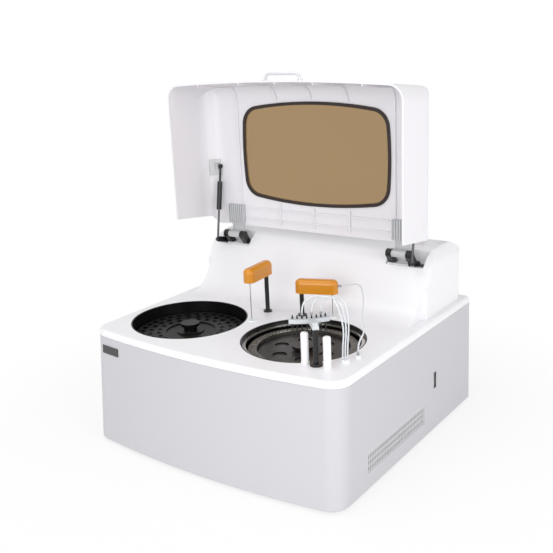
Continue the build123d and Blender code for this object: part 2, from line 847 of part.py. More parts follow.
def make_lift_frame(place):
    x, y = place
    low_z = plate_top_z
    high_z = deck_z - cover_wall
    back_y = y + lift_back + 10
    low_x, high_x = x - lift_half_width, x + lift_half_width
    frame = block((low_x, y - lift_front, low_z), (high_x, back_y, low_z + lift_plate))
    frame += block((low_x, y - lift_front, high_z - lift_plate), (high_x, back_y, high_z))
    frame += block((low_x, back_y - lift_spine, low_z + lift_plate - 1),
                   (high_x, back_y, high_z - lift_plate + 1))
    for side in sides:
        rod_x = x + side * rod_spacing / 2
        frame += post(rod_x, y + lift_rod_back, low_z + lift_plate - 1, high_z - lift_plate + 1, rod_radius)
    frame += post(x, y, high_z - 1, deck_z + 0.1, collar_radius - collar_lip - fit_gap)
    frame += post(x, y, deck_z, deck_z + collar_height, collar_radius)
    frame -= post(x, y, high_z - 10, deck_z + collar_height + 1, column_radius + running_gap)
    return frame


def make_carriage(place, low_z):
    x, y = place
    high_z = low_z + carriage_height
    carriage = block(
        (x - carriage_half_width, y - lift_front, low_z),
        (x + carriage_half_width, y + lift_back + 1, high_z),
    )
    for side in sides:
        rod_x = x + side * rod_spacing / 2
        carriage -= post(rod_x, y + lift_rod_back, low_z - 1, high_z + 1, rod_radius + running_gap)
    carriage -= post(x, y, low_z - 1, high_z + 1, column_radius + running_gap)
    return carriage


def make_column(place, angle, arm_z, carriage_z):
    high_z = carriage_z + carriage_height
    flange_radius = column_radius + 3
    column = post(*place, carriage_z - 3, arm_z + 12, column_radius)
    column += post(*place, high_z + 0.2, high_z + 4, flange_radius)
    column += post(*place, carriage_z - 4, carriage_z - 0.2, flange_radius)
    plate = capsule(place, angle, arm_end_radius - arm_wall - fit_gap, arm_z, arm_plate)
    needle_place = along(place, angle, arm_reach)
    plate -= post(*needle_place, arm_z - 1, arm_z + arm_plate + 1, needle_radius + 2 + fit_gap)
    return column + plate


def make_arm_cover(place, angle, arm_z):
    outer = capsule(place, angle, arm_end_radius, arm_z, arm_height)
    outer = fillet(outer.edges().group_by(Axis.Z)[-1], arm_edge_radius)
    hollow = capsule(place, angle, arm_end_radius - arm_wall, arm_z - 1, arm_height - arm_wall + 1)
    hollow = fillet(hollow.edges().group_by(Axis.Z)[-1], arm_edge_radius - arm_wall)
    return outer - hollow


def make_needle(place, angle, arm_z):
    x, y = along(place, angle, arm_reach)
    needle = post(x, y, needle_tip_z, arm_z + 14, needle_radius)
    needle += post(x, y, arm_z - 5, arm_z + 12, needle_radius + 2)
    return needle


def make_wash_pots():
    pots = []
    for x, y in pot_places:
        pot = post(x, y, deck_z - pot_depth, deck_z + 0.1, pot_radius)
        pot += post(x, y, deck_z, deck_z + pot_rim_height, pot_radius + pot_rim)
        pot -= post(x, y, deck_z - pot_depth + pot_floor, deck_z + pot_rim_height + 1, pot_bore)
        pots.append(pot)
    return pots


# ---------------------------------------------------------------- wash station
wash_towards = direction(reaction_place, wash_post)
wash_first = round((wash_towards - cuvette_start) / cuvette_pitch) - wash_needle_count // 2
wash_angles = [cuvette_start + cuvette_pitch * (wash_first + step) for step in range(wash_needle_count)]
wash_needle_places = [along(reaction_place, angle, cuvette_middle) for angle in wash_angles]
wash_hub_radius = 7.0
wash_hub_top_z = wash_head_z + wash_head_height + 6


def make_wash_guide():
    """The fixed foot on the deck, with the sleeve that the column slides in."""
    guide = post(*wash_post, deck_z, deck_z + wash_foot_height, wash_foot_radius)
    guide += post(*wash_post, wash_guide_bottom_z, deck_z + 0.1, wash_guide_radius)
    bore_top_z = deck_z + wash_foot_height + 1
    guide -= post(*wash_post, wash_guide_bottom_z - 1, bore_top_z, wash_post_radius + running_gap)
    return guide


def make_wash_post():
    """The black column, which carries the head and slides up and down."""
    return post(*wash_post, wash_column_bottom_z, wash_head_z, wash_post_radius)


def make_wash_bottles():
    bottles = []
    for side in (-1, 1):
        x = wash_post[0] + side * wash_bottle_offset
        y = wash_post[1]
        bottle = post(x, y, deck_z, wash_bottle_top_z, wash_bottle_radius)
        bottle = fillet(bottle.edges().group_by(Axis.Z)[-1], 4)
        bottle += post(x, y, deck_z, deck_z + 3, wash_bottle_radius + 1)
        bottles.append(bottle)
    return bottles


def make_wash_head():
    low_z, high_z = wash_head_z, wash_head_z + wash_head_height
    ring = post(*reaction_place, low_z, high_z, cuvette_middle + wash_head_half_width)
    ring -= post(*reaction_place, low_z - 1, high_z + 1, cuvette_middle - wash_head_half_width)
    far = 2 * well_radius
    first = along(reaction_place, min(wash_angles) - wash_head_end, far)
    last = along(reaction_place, max(wash_angles) + wash_head_end, far)
    wedge = make_face(Polyline(reaction_place, first, last, reaction_place))
    head = ring & extrude(Pos(0, 0, low_z - 1) * wedge, wash_head_height + 2)
    reach = math.dist(wash_post, reaction_place) - cuvette_middle
    arm = block((-wash_hub_radius, -wash_hub_radius, low_z), (reach, wash_hub_radius, high_z))
    head += Pos(*wash_post, 0) * Rot(0, 0, wash_towards + 180) * arm
    head += post(*wash_post, low_z, wash_hub_top_z, wash_hub_radius)
    for x, y in wash_needle_places:
        head -= post(x, y, low_z - 1, high_z + 1, wash_needle_radius + wash_needle_seat)
    return head


def make_wash_needles():
    needles = []
    for x, y in wash_needle_places:
        needle = post(x, y, wash_needle_tip_z, wash_head_z + wash_head_height + 8, wash_needle_radius)
        seat_high = wash_head_z + wash_head_height + 4
        needle += post(x, y, wash_head_z + 0.5, seat_high, wash_needle_radius + wash_needle_seat)
        needles.append(needle)
    return needles


tube_ports = ((port_place, port_radius), (probe_port, probe_port_radius))


def make_tube_ports():
    ports = []
    for place, radius in tube_ports:
        port = post(*place, deck_z - cover_wall - 10, deck_z + 0.1, radius - 3 - fit_gap)
        port += post(*place, deck_z, deck_z + port_height, radius)
        ports.append(port)
    return ports


def tube_along(points):
    """A flexible tube: straight runs joined by the largest arcs that they allow."""
    runs = [math.dist(a, b) for a, b in zip(points, points[1:])]
    radii = []
    for index in range(1, len(points) - 1):
        before = Vector(*points[index]) - Vector(*points[index - 1])
        after = Vector(*points[index + 1]) - Vector(*points[index])
        turn = math.radians(before.get_angle(after))
        radii.append(0.45 * min(runs[index - 1], runs[index]) / math.tan(turn / 2))
    path = FilletPolyline(*points, radius=radii)
    start = Vector(*points[0])
    section = Plane(origin=start, z_dir=Vector(*points[1]) - start) * Circle(tube_radius)
    tube = sweep(section, path=path)
    expected = math.pi * tube_radius ** 2 * path.length
    print("tube length", round(path.length, 1), "volume share", round(tube.volume / expected, 4),
          "radii", [round(radius, 1) for radius in radii])
    return tube


def make_wash_tubes():
    tubes = []
    port_top = deck_z + port_height
    rod_top = wash_head_z + wash_head_height + 8
    for index in range(wash_tube_count):
        start = wash_needle_places[wash_needle_count - 2 - 2 * index]
        swing = 5.0 * (index - 1)
        end = (port_place[0] + 3.0 * (index - 1), port_place[1] + 5.0 * (index - 1))
        tubes.append(tube_along([
            (start[0], start[1], rod_top),
            (start[0], start[1], rod_top + 16),
            (start[0] + 9, start[1] + 4, rod_top + 32 + index * 3),
            (start[0] + 28, start[1] + 6 + swing, rod_top + 42 + index * 2),
            (end[0] - 22 + index, end[1] + 14 + swing, rod_top + 34 + index),
            (end[0] - 5, end[1] + 8 + swing, rod_top + 8),
            (end[0] + 3, end[1] + 3, rod_top - 28),
            (end[0], end[1], port_top + 26),
            (end[0], end[1], port_top),
        ]))
    return tubes


def make_probe_tube():
    tip = along(right_post, right_arm_angle, arm_reach + arm_end_radius)
    middle_z = right_arm_z + arm_height * 0.55
    bend = (tip[0] + 16, tip[1] + 5, middle_z + 2)
    return tube_along([
        (tip[0] + 0.3, tip[1] + 0.1, middle_z),
        bend,
        (tip[0] + 38, tip[1] + 3, middle_z + 9),
        (tip[0] + 66, tip[1] - 14, middle_z + 18),
        (tip[0] + 96, tip[1] - 48, middle_z + 18),
        (tip[0] + 124, tip[1] - 92, middle_z + 6),
        (tip[0] + 146, tip[1] - 138, middle_z - 12),
        (probe_port[0] + 3, probe_port[1] + 26, middle_z - 30),
        (probe_port[0], probe_port[1], deck_z + port_height + 28),
        (probe_port[0], probe_port[1], deck_z + port_height),
    ])


# ---------------------------------------------------------------- lid
def lid_edge_z(y):
    """Height of the roof's side edges at y: the roof falls towards the back."""
    return lid_top_z - lid_roof_drop * (y - lid_rim_y) / (lid_back_y - lid_rim_y)


def roof_z(x, y):
    """Height of the outside of the roof."""
    return lid_edge_z(y) + lid_top_bow * (1 - (x / lid_half_width) ** 2)


def lid_front_view(inset, y, low_z):
    half_width = lid_half_width - inset
    top_z = lid_edge_z(y) - inset
    view = make_face(
        Polyline((-half_width, top_z), (-half_width, low_z), (half_width, low_z), (half_width, top_z))
        + ThreePointArc((half_width, top_z), (0, top_z + lid_top_bow), (-half_width, top_z)))
    view = fillet(view.vertices().sort_by(Axis.Y)[-2:], lid_rim_corner - inset)
    return Plane.XZ.offset(-y) * view


def lid_box(inset, rim_y, bottom_drop):
    """The outer form of the lid, drawn in by inset, with its mouth at rim_y."""
    half_width = lid_half_width - inset
    low_z = lid_back_bottom_z - bottom_drop
    back_y = lid_back_y - inset
    corner_radius = lid_back_corner - inset
    hood = loft([lid_front_view(inset, rim_y, low_z), lid_front_view(inset, back_y, low_z)], ruled=True)
    plan = make_face(Polyline((-half_width, rim_y), (half_width, rim_y), (half_width, back_y),
                              (-half_width, back_y), (-half_width, rim_y)))
    plan = fillet(plan.vertices().sort_by(Axis.Y)[-2:], corner_radius)
    rim_high_z = lid_edge_z(rim_y) - inset + lid_top_bow + lid_roof_spare
    back_high_z = lid_edge_z(back_y) - inset + lid_top_bow + lid_roof_spare
    hood &= extrude(Pos(0, 0, low_z - 1) * plan, rim_high_z - low_z + 2)
    side_view = make_face(Polyline(
        (rim_y, lid_side_front_z - bottom_drop),
        (lid_back_y - lid_back_corner / 2, lid_side_back_z - bottom_drop),
        (lid_back_y - lid_wall - 6, low_z),
        (back_y, low_z),
        (back_y, back_high_z),
        (rim_y, rim_high_z),
        (rim_y, lid_side_front_z - bottom_drop)))
    back_top = side_view.vertices().sort_by(lambda v: v.X + v.Y)[-1]
    side_view = fillet(back_top, corner_radius)
    return hood & extrude(Plane.YZ * side_view, lid_half_width, both=True)


def window_face(grow):
    half_width = window_half_width + grow
    low_z = window_bottom_z - grow
    high_z = window_top_z + grow
    bow = window_bow
    side = window_side_bow
    middle_z = (low_z + high_z) / 2
    outline = (
        ThreePointArc((-half_width, low_z), (0, low_z - bow), (half_width, low_z))
        + ThreePointArc((half_width, low_z), (half_width + side, middle_z), (half_width, high_z))
        + ThreePointArc((half_width, high_z), (0, high_z + bow), (-half_width, high_z))
        + ThreePointArc((-half_width, high_z), (-half_width - side, middle_z), (-half_width, low_z))
    )
    face = make_face(outline)
    return fillet(face.vertices(), window_corner + grow)


def window_slab(grow, low_y, high_y):
    return extrude(Plane.XZ.offset(-high_y) * window_face(grow), high_y - low_y)


lid_inner_y = lid_back_y - lid_wall


def lid_lining(depth, overlap):
    """A layer on the inside of the lid: it reaches overlap into the wall and depth into the room."""
    outer = lid_box(lid_wall - overlap, lid_rim_y + rib_width, 0.0)
    return outer - lid_box(lid_wall + depth, lid_rim_y - 10, 80.0)


def make_lid_ribs():
    lining = lid_lining(rib_depth, 1.0)
    lining -= window_slab(gasket_face + 3, lid_inner_y - 2 * rib_depth, lid_back_y + 1)
    high_z = lid_top_z + lid_top_bow
    ribs = []
    for x in rib_places:
        low_z = rib_outer_low_z if abs(x) > window_half_width else rib_inner_low_z
        slab = block((x - rib_width / 2, lid_rim_y, low_z), (x + rib_width / 2, lid_back_y, high_z))
        ribs.append(lining & slab)
    reach = hinge_x - hinge_half_length - 3
    for z in shelf_places:
        slab = block((-reach, lid_rim_y, z - rib_width / 2), (reach, lid_back_y, z + rib_width / 2))
        ribs.append(lining & slab)
    return ribs


def make_lid_shell():
    shell = lid_box(0.0, lid_rim_y, 0.0) - lid_box(lid_wall, lid_rim_y - 10, 80.0)
    shell -= window_slab(0.0, lid_inner_y - 1, lid_back_y + 1)
    for rib in make_lid_ribs():
        shell += rib
    return shell


def make_gasket():
    seat = window_slab(-fit_gap, lid_inner_y - gasket_depth + lid_wall, lid_back_y)
    face = window_slab(gasket_face - 3, lid_inner_y - 3, lid_inner_y)
    rear = window_slab(gasket_face - 3, lid_back_y, lid_back_y + 1.5)
    gasket = seat + face + rear
    return gasket - window_slab(-3.0, lid_inner_y - 20, lid_back_y + 10)


def make_pane():
    return window_slab(-3.0 - 0.05, lid_inner_y, lid_inner_y + pane_thickness)


def make_handle():
    foot_z = roof_z(handle_half_width, handle_y)
    top_z = foot_z + handle_rise
    wire = FilletPolyline(
        (-handle_half_width, handle_y, foot_z),
        (-handle_half_width, handle_y, top_z),
        (handle_half_width, handle_y, top_z),
        (handle_half_width, handle_y, foot_z),
        radius=handle_bend,
    )
    section = Plane(origin=(-handle_half_width, handle_y, foot_z), z_dir=(0, 0, 1)) * Circle(handle_wire)
    handle = sweep(section, path=wire)
    for side in sides:
        x = side * handle_half_width
        handle += post(x, handle_y, foot_z - 1, foot_z + handle_foot_height, handle_foot_radius)
    return handle - lid_box(0.0, lid_rim_y, 0.0)


# ---------------------------------------------------------------- hinges and struts
ear_inner = hinge_half_length - ear_thickness


def make_hinge_plates():
    plates = []
    top_z = pocket_floor_z + hinge_plate_thickness
    for side in sides:
        low_x, high_x = span_x(side, hinge_x - hinge_half_length - 4, hinge_x + hinge_half_length + 2)
        plate = block((low_x, hinge_y + 8, pocket_floor_z), (high_x, pocket_back_y - 4, top_z))
        for share in (-0.3, 0.3):
            x = side * hinge_x + share * hinge_half_length
            plate += post(x, hinge_y + 28, top_z - 0.1, top_z + 2, 4.0)
        plates.append(plate)
    return plates


def make_hinge_ears():
    ears = []
    plate_top = pocket_floor_z + hinge_plate_thickness
    for side in sides:
        pin_low, pin_high = side * hinge_x - hinge_half_length, side * hinge_x + hinge_half_length
        group = bar_along_x(pin_low, pin_high, hinge_y, hinge_z, hinge_pin_radius)
        for end in (-1, 1):
            low_x, high_x = span_x(end, ear_inner, hinge_half_length)
            low_x, high_x = side * hinge_x + low_x, side * hinge_x + high_x
            group += bar_along_x(low_x, high_x, hinge_y, hinge_z, ear_radius)
            foot = make_face(Polyline(
                (hinge_y - ear_radius * 0.8, hinge_z - ear_radius * 0.6),
                (hinge_y + 9, plate_top),
                (hinge_y + 30, plate_top),
                (hinge_y + ear_radius, hinge_z),
                (hinge_y - ear_radius * 0.8, hinge_z - ear_radius * 0.6)))
            group += extrude(Plane.YZ.offset(low_x) * foot, high_x - low_x)
        ears.append(group)
    return ears


def make_hinge_leaves():
    leaves = []
    bridge_z = hinge_z + knuckle_radius
    block_low = lid_back_bottom_z + 8
    block_high = block_low + block_height
    block_y = lid_inner_y - block_depth
    for side in sides:
        low_x = side * hinge_x - ear_inner + fit_gap
        high_x = side * hinge_x + ear_inner - fit_gap
        leaf = bar_along_x(low_x, high_x, hinge_y, hinge_z, knuckle_radius)
        leaf += block((low_x, hinge_y, bridge_z - leaf_thickness), (high_x, lid_inner_y, bridge_z))
        leaf += block((low_x, lid_inner_y - leaf_thickness, bridge_z - leaf_thickness),
                      (high_x, lid_inner_y, lid_back_bottom_z + 22))
        leaf += block((low_x - 6, block_y, block_low), (high_x + 6, lid_inner_y, block_high))
        leaf -= bar_along_x(low_x - 1, high_x + 1, hinge_y, hinge_z, hinge_pin_radius + running_gap)
        for step in range(block_groove_count):
            x = side * hinge_x + block_groove_pitch * (step - (block_groove_count - 1) / 2)
            leaf -= block((x - block_groove_width / 2, block_y - 1, block_low - 1),
                          (x + block_groove_width / 2, block_y + block_groove_width, block_high + 1))
        leaves.append(leaf)
    return leaves


strut_run = math.hypot(strut_high_y - strut_low_y, strut_high_z - strut_low_z)
strut_shut_y = hinge_y - (strut_high_z - hinge_z)
strut_shut_z = hinge_z + (strut_high_y - hinge_y)
strut_closed_run = math.hypot(strut_shut_y - strut_low_y, strut_shut_z - strut_low_z)
strut_turn = math.degrees(math.atan2(strut_high_y - strut_low_y, strut_high_z - strut_low_z))


def on_strut(side, solid):
    """Places a solid drawn up +Z from the strut's lower pivot."""
    return Pos(side * strut_x, strut_low_y, strut_low_z) * Rot(-strut_turn, 0, 0) * solid


def strut_eye():
    return Rot(0, 90, 0) * Cylinder(strut_eye_radius, strut_eye_thickness)


def make_strut_rod(side):
    rod = post(0, 0, 0, strut_closed_run - strut_neck - 6, strut_rod_radius)
    rod += strut_eye()
    rod -= Rot(0, 90, 0) * Cylinder(strut_pin_radius + running_gap, strut_eye_thickness + 2)
    return on_strut(side, rod)


def make_strut_body(side):
    high = strut_run - strut_neck
    low = high - strut_body_length
    body = post(0, 0, low, high, strut_body_radius)
    body += post(0, 0, high - 1, strut_run, strut_rod_radius)
    body += Pos(0, 0, strut_run) * strut_eye()
    pin_hole = Rot(0, 90, 0) * Cylinder(strut_pin_radius + running_gap, strut_eye_thickness + 2)
    body -= Pos(0, 0, strut_run) * pin_hole
    body -= post(0, 0, low - 1, high - 4, strut_rod_radius + running_gap)
    return on_strut(side, body)


def make_strut_floor_brackets():
    brackets = []
    for side in sides:
        plate_inner = strut_x - strut_eye_thickness / 2 - fit_gap - strut_plate
        low_x, high_x = span_x(side, plate_inner, plate_inner + strut_plate)
        outline = make_face(Polyline(
            (strut_low_y - 7, strut_low_z - 5),
            (hinge_y + 14, pocket_floor_z),
            (hinge_y + 34, pocket_floor_z),
            (hinge_y + 24, pocket_floor_z + 12),
            (strut_low_y + 4, strut_low_z + 8),
            (strut_low_y - 7, strut_low_z + 4),
            (strut_low_y - 7, strut_low_z - 5)))
        bracket = extrude(Plane.YZ.offset(low_x) * outline, strut_plate)
        foot_low, foot_high = span_x(side, plate_inner, strut_x + 10)
        bracket += block((foot_low, hinge_y + 16, pocket_floor_z),
                         (foot_high, hinge_y + 34, pocket_floor_z + strut_plate))
        pin_low, pin_high = span_x(side, plate_inner, strut_x + strut_eye_thickness / 2 + 2)
        bracket += bar_along_x(pin_low, pin_high, strut_low_y, strut_low_z, strut_pin_radius)
        brackets.append(bracket)
    return brackets


def make_strut_lid_brackets():
    brackets = []
    hollow = lid_box(lid_wall, lid_rim_y, 0.0)
    skin = hollow - lid_box(lid_wall + strut_plate, lid_rim_y - 10, 80.0)
    inner = strut_x + strut_eye_thickness / 2 + 1.0
    for side in sides:
        low_x, high_x = span_x(side, inner, inner + strut_lid_plate_width)
        bracket = skin & block(
            (low_x, strut_high_y - 2 * strut_plate - 20, strut_lid_plate_low_z),
            (high_x, lid_back_y, strut_lid_plate_high_z),
        )
        low_x, high_x = span_x(side, inner, inner + strut_lid_ear_width)
        ear = block((low_x, strut_high_y - 7, strut_high_z - 9), (high_x, lid_inner_y, strut_high_z + 9))
        brackets.append(bracket + (ear & hollow))
    return brackets


# ---------------------------------------------------------------- everything, one file per piece
def build():
    save("base_pan", make_base_pan())
    save("rubber_feet", *make_feet())
    save("lower_housing", make_lower_housing())
    save("rear_panel", make_rear_panel())
    save("rear_screws", *make_rear_screws())
    save("mains_inlet", make_mains_inlet())
    save("rear_ports", *make_rear_ports())
    fan_frame, fan_rotor = make_fan()
    save("fan_frame", fan_frame)
    save("fan_rotor", fan_rotor)
    save("side_vent_grille", make_side_vent())
    bezel, rocker = make_switch()
    save("switch_bezel", bezel)
    save("power_rocker", rocker)
    save("badge_plate", make_badge())
    save("top_cover", make_top_cover())
    save("module_plate", make_module_plate())
    save("plate_pillars", *make_pillars())
    save("power_supply", make_power_supply())
    save("control_board", make_control_board())
    save("sample_tub", make_tub(sample_x, sample_y))
    save("reaction_tub", make_tub(reaction_x, reaction_y))
    save("bath_rim_ring", make_rim_ring())
    save("sample_motor", make_motor(sample_x, sample_y))
    save("reaction_motor", make_motor(reaction_x, reaction_y))
    save("sample_spindle", make_spindle(sample_x, sample_y, tray_top_z - tray_thickness))
    save("reaction_spindle", make_spindle(reaction_x, reaction_y, disc_top_z - disc_thickness))
    save("sample_tray", make_tray())
    save("reaction_disc", make_reaction_disc())
    save("cuvette_ring", make_cuvette_ring())
    for side, place, angle, arm_z, carriage_z in (
        ("left", left_post, left_arm_angle, left_arm_z, left_carriage_z),
        ("right", right_post, right_arm_angle, right_arm_z, right_carriage_z),
    ):
        save(f"{side}_lift_frame", make_lift_frame(place))
        save(f"{side}_lift_carriage", make_carriage(place, carriage_z))
        save(f"{side}_arm_column", make_column(place, angle, arm_z, carriage_z))
        save(f"{side}_arm_cover", make_arm_cover(place, angle, arm_z))
        save(f"{side}_needle", make_needle(place, angle, arm_z))
    save("wash_pots", *make_wash_pots())
    save("wash_guide", make_wash_guide())
    save("wash_post", make_wash_post())
    save("wash_bottles", *make_wash_bottles())
    save("wash_head", make_wash_head())
    save("wash_needles", *make_wash_needles())
    save("wash_tubes", *make_wash_tubes())
    save("tube_ports", *make_tube_ports())
    save("probe_tube", make_probe_tube())
    save("lid_shell", make_lid_shell())
    save("window_gasket", make_gasket())
    save("window_pane", make_pane())
    save("lid_handle", make_handle())
    save("hinge_plates", *make_hinge_plates())
    save("hinge_ears", *make_hinge_ears())
    save("hinge_leaves", *make_hinge_leaves())
    save("strut_floor_brackets", *make_strut_floor_brackets())
    save("strut_lid_brackets", *make_strut_lid_brackets())
    for side, name in ((-1, "left"), (1, "right")):
        save(f"strut_rod_{name}", make_strut_rod(side))
        save(f"strut_body_{name}", make_strut_body(side))


os.makedirs("parts", exist_ok=True)
print("lowest swings", round(left_swing_low, 3), round(right_swing_low, 3))
build()
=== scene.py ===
"""Finishes, tubes, small parts, lights and camera for a benchtop chemistry analyzer with its lid open."""

import json
import math

import bmesh
import bpy
from bpy.props import FloatProperty, FloatVectorProperty, IntProperty, PointerProperty
from mathutils import Matrix, Vector

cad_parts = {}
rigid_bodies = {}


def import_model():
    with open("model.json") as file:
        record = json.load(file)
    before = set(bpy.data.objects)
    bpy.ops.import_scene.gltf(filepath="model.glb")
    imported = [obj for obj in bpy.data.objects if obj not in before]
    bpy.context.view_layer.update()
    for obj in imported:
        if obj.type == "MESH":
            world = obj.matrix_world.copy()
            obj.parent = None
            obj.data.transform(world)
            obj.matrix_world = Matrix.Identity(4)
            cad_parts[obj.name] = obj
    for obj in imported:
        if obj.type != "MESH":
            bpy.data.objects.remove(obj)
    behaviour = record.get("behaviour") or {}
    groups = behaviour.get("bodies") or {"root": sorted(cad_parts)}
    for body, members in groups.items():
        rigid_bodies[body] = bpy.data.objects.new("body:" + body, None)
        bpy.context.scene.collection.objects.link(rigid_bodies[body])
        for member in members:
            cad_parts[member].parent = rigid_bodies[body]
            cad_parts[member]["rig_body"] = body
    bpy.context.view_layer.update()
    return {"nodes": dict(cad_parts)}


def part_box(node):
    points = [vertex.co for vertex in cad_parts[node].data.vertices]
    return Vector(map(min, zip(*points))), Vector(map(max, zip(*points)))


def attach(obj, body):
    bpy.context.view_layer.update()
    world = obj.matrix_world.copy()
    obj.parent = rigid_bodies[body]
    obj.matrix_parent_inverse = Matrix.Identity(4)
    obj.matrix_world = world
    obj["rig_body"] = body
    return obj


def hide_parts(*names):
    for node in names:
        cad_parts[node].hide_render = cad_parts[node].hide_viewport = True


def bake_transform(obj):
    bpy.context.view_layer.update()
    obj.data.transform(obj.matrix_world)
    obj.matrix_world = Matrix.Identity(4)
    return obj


bl_info = {
    "name": "Benchtop analyzer looks",
    "version": (1, 0, 0),
    "blender": (4, 5, 0),
    "location": "View3D > Sidebar > Analyzer",
    "description": "Finishes, tubes, small parts, lights and camera for a benchtop chemistry analyzer",
    "category": "Object",
}

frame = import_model()

MM = 0.001
MERGE_DISTANCE = 0.002 * MM
SMOOTH_DEGREES = 32.0
FLAT_DEGREES = 0.4
NORMAL_WEIGHT = 60


def tone(red, green, blue):
    """A screen colour, 0 to 255, as the linear colour that a shader takes."""
    shares = [value / 255 for value in (red, green, blue)]
    return tuple(share / 12.92 if share <= 0.04045 else ((share + 0.055) / 1.055) ** 2.4 for share in shares)


def colour_property(name, description, red, green, blue):
    return FloatVectorProperty(name=name, description=description, subtype="COLOR", size=3, min=0.0, max=1.0,
                               default=tone(red, green, blue))


def length_property(name, description, default):
    return FloatProperty(name=name, description=description, default=default, min=0.0, unit="LENGTH", precision=5)


class AnalyzerColours(bpy.types.PropertyGroup):
    """Colours of the finishes."""
    case: colour_property("Case", "Grey white of the lower housing", 195, 194, 199)
    cover: colour_property("Cover", "White of the deck and the hump", 236, 235, 238)
    lid: colour_property("Lid", "White of the lid", 231, 229, 233)
    arm: colour_property("Arm covers", "Orange of the probe arms", 210, 133, 2)
    window: colour_property("Window", "Amber of the tinted window", 166, 137, 96)
    gasket: colour_property("Gasket", "Dark brown of the window's rubber", 40, 27, 22)
    black: colour_property("Black parts", "Black of the wells, columns and struts", 16, 16, 17)
    vent: colour_property("Vent", "Grey of the side grille", 200, 200, 203)
    metal: colour_property("Metal", "Bare turned metal", 196, 194, 190)
    well: colour_property("Wells", "Black of the tubs and the sample tray", 11, 11, 12)
    milky: colour_property("Milky plastic", "White plastic of the wash station", 236, 237, 238)


class AnalyzerSizes(bpy.types.PropertyGroup):
    """Sizes of the small parts that are added to the solids."""
    tube_diameter: length_property("Tube diameter", "Outer diameter of the flexible tubes", 3.6 * MM)
    screw_radius: length_property("Screw radius", "Radius of the small screw heads", 2.6 * MM)
    cuvette_wall: length_property("Cuvette wall", "Wall of the clear cuvettes", 0.6 * MM)
    cuvette_length: length_property("Cuvette length", "Outer length of a cuvette", 12.4 * MM)
    cuvette_width: length_property("Cuvette width", "Outer width of a cuvette", 5.8 * MM)
    cuvette_depth: length_property("Cuvette depth", "Height of a cuvette", 24.0 * MM)
    cup_radius: length_property("Cup radius", "Outer radius of a sample cup's lip", 7.0 * MM)
    cup_lip: length_property("Cup lip", "Width and height of a sample cup's lip", 0.9 * MM)
    cup_depth: length_property("Cup depth", "Height of a sample cup below its lip", 10.0 * MM)
    cup_wall: length_property("Cup wall", "Wall of the sample cups", 0.8 * MM)
    proud: length_property("Proud", "Height of loose cups above the face that they stand in", 0.1 * MM)
    fitting_wall: length_property("Fitting wall", "Wall of the sleeves at the tube ends", 1.4 * MM)
    screw_step: length_property("Screw step", "Distance between the screws of a hinge plate", 22.0 * MM)
    screw_side: length_property("Screw side margin", "From the end of a hinge plate to its first screw", 14.0 * MM)
    screw_back: length_property("Screw back margin", "From the back of a hinge plate to its screws", 7.0 * MM)
    plate_thickness: length_property("Hinge plate", "Thickness of the fixed hinge plates", 4.0 * MM)
    cuvette_count: IntProperty(name="Cuvettes", description="Cuvettes in the reaction ring", default=72, min=1)


class AnalyzerStage(bpy.types.PropertyGroup):
    """Camera, lamps and floor."""
    azimuth: FloatProperty(name="Azimuth", description="Turn of the camera round the object",
                           default=math.radians(35.89), subtype="ANGLE")
    elevation: FloatProperty(name="Elevation", description="Height of the camera above the horizon",
                             default=math.radians(16.08), subtype="ANGLE")
    roll: FloatProperty(name="Roll", description="Tilt of the camera about its own axis",
                        default=math.radians(-2.6), subtype="ANGLE")
    distance: length_property("Distance", "From the camera to the point it looks at", 2.0399)
    lens: FloatProperty(name="Lens", description="Focal length for a 36 mm sensor, in millimetres", default=53.33)
    target: FloatVectorProperty(name="Target", description="The point that the camera looks at", size=3,
                                subtype="XYZ", default=(-2.1 * MM, -13.2 * MM, 393.4 * MM))
    key_power: FloatProperty(name="Key lamp", description="Power of the large lamp above, in watts", default=13.0)
    fill_power: FloatProperty(name="Fill lamp", description="Power of the front lamp, in watts", default=24.0)
    side_power: FloatProperty(name="Side lamp", description="Power of the right lamp, in watts", default=26.0)
    sky: FloatProperty(name="Sky", description="Strength of the even light from all sides", default=0.7)


# ------------------------------------------------------------------ places that the solids have too
SAMPLE = Vector((-186.0, -141.0)) * MM
REACTION = Vector((148.0, -126.0)) * MM
LEFT_POST = Vector((-43.0, -1.0)) * MM
RIGHT_POST = Vector((53.0, 14.0)) * MM
WASH_POST = Vector((260.0, -246.0)) * MM
WASH_PORT = Vector((304.0, -200.0)) * MM
PROBE_PORT = Vector((316.0, -166.0)) * MM
RIGHT_ARM_ANGLE = math.radians(20.0)
ARM_REACH = 78.0 * MM
ARM_END_RADIUS = 15.0 * MM
RIGHT_ARM_MIDDLE_Z = 372.25 * MM
CUVETTE_CIRCLE = 119.0 * MM
CUVETTE_PITCH = math.radians(5.0)
WASH_NEEDLES = 8
WASH_TUBE_COUNT = 3
WASH_SLEEVE_TOP_Z = 391.0 * MM
PORT_TOP_Z = 298.0 * MM
CUP_COUNTS = (32, 24, 20)
CUP_ROW = 21.0 * MM
TRAY_KNOB_HEIGHT = 20.0 * MM

# sides of the turned small parts, and shares of a screw's head
SCREW_SIDES = 12
SCREW_HEAD_HEIGHT = 0.7
SCREW_SOCKET = 0.45
CUP_SIDES = 14
FITTING_SIDES = 20

# tubes: detail of their curves and of their round sections, and the order of their curves
TUBE_STEPS = 10
TUBE_SIDES = 5
TUBE_ORDER = 3

# sleeves round the tube ends
HEAD_FITTING = 5.0 * MM
ARM_FITTING = 9.0 * MM
PORT_FITTING = 8.0 * MM
FITTING_STEP_LOW = 0.55
FITTING_STEP_HIGH = 0.6
FITTING_NECK = 0.8
HINGE_SCREWS = 3


def direction(place, target):
    """Angle about Z from one place to another."""
    return math.atan2(target.y - place.y, target.x - place.x)


def along(place, angle, distance):
    return place + distance * Vector((math.cos(angle), math.sin(angle)))


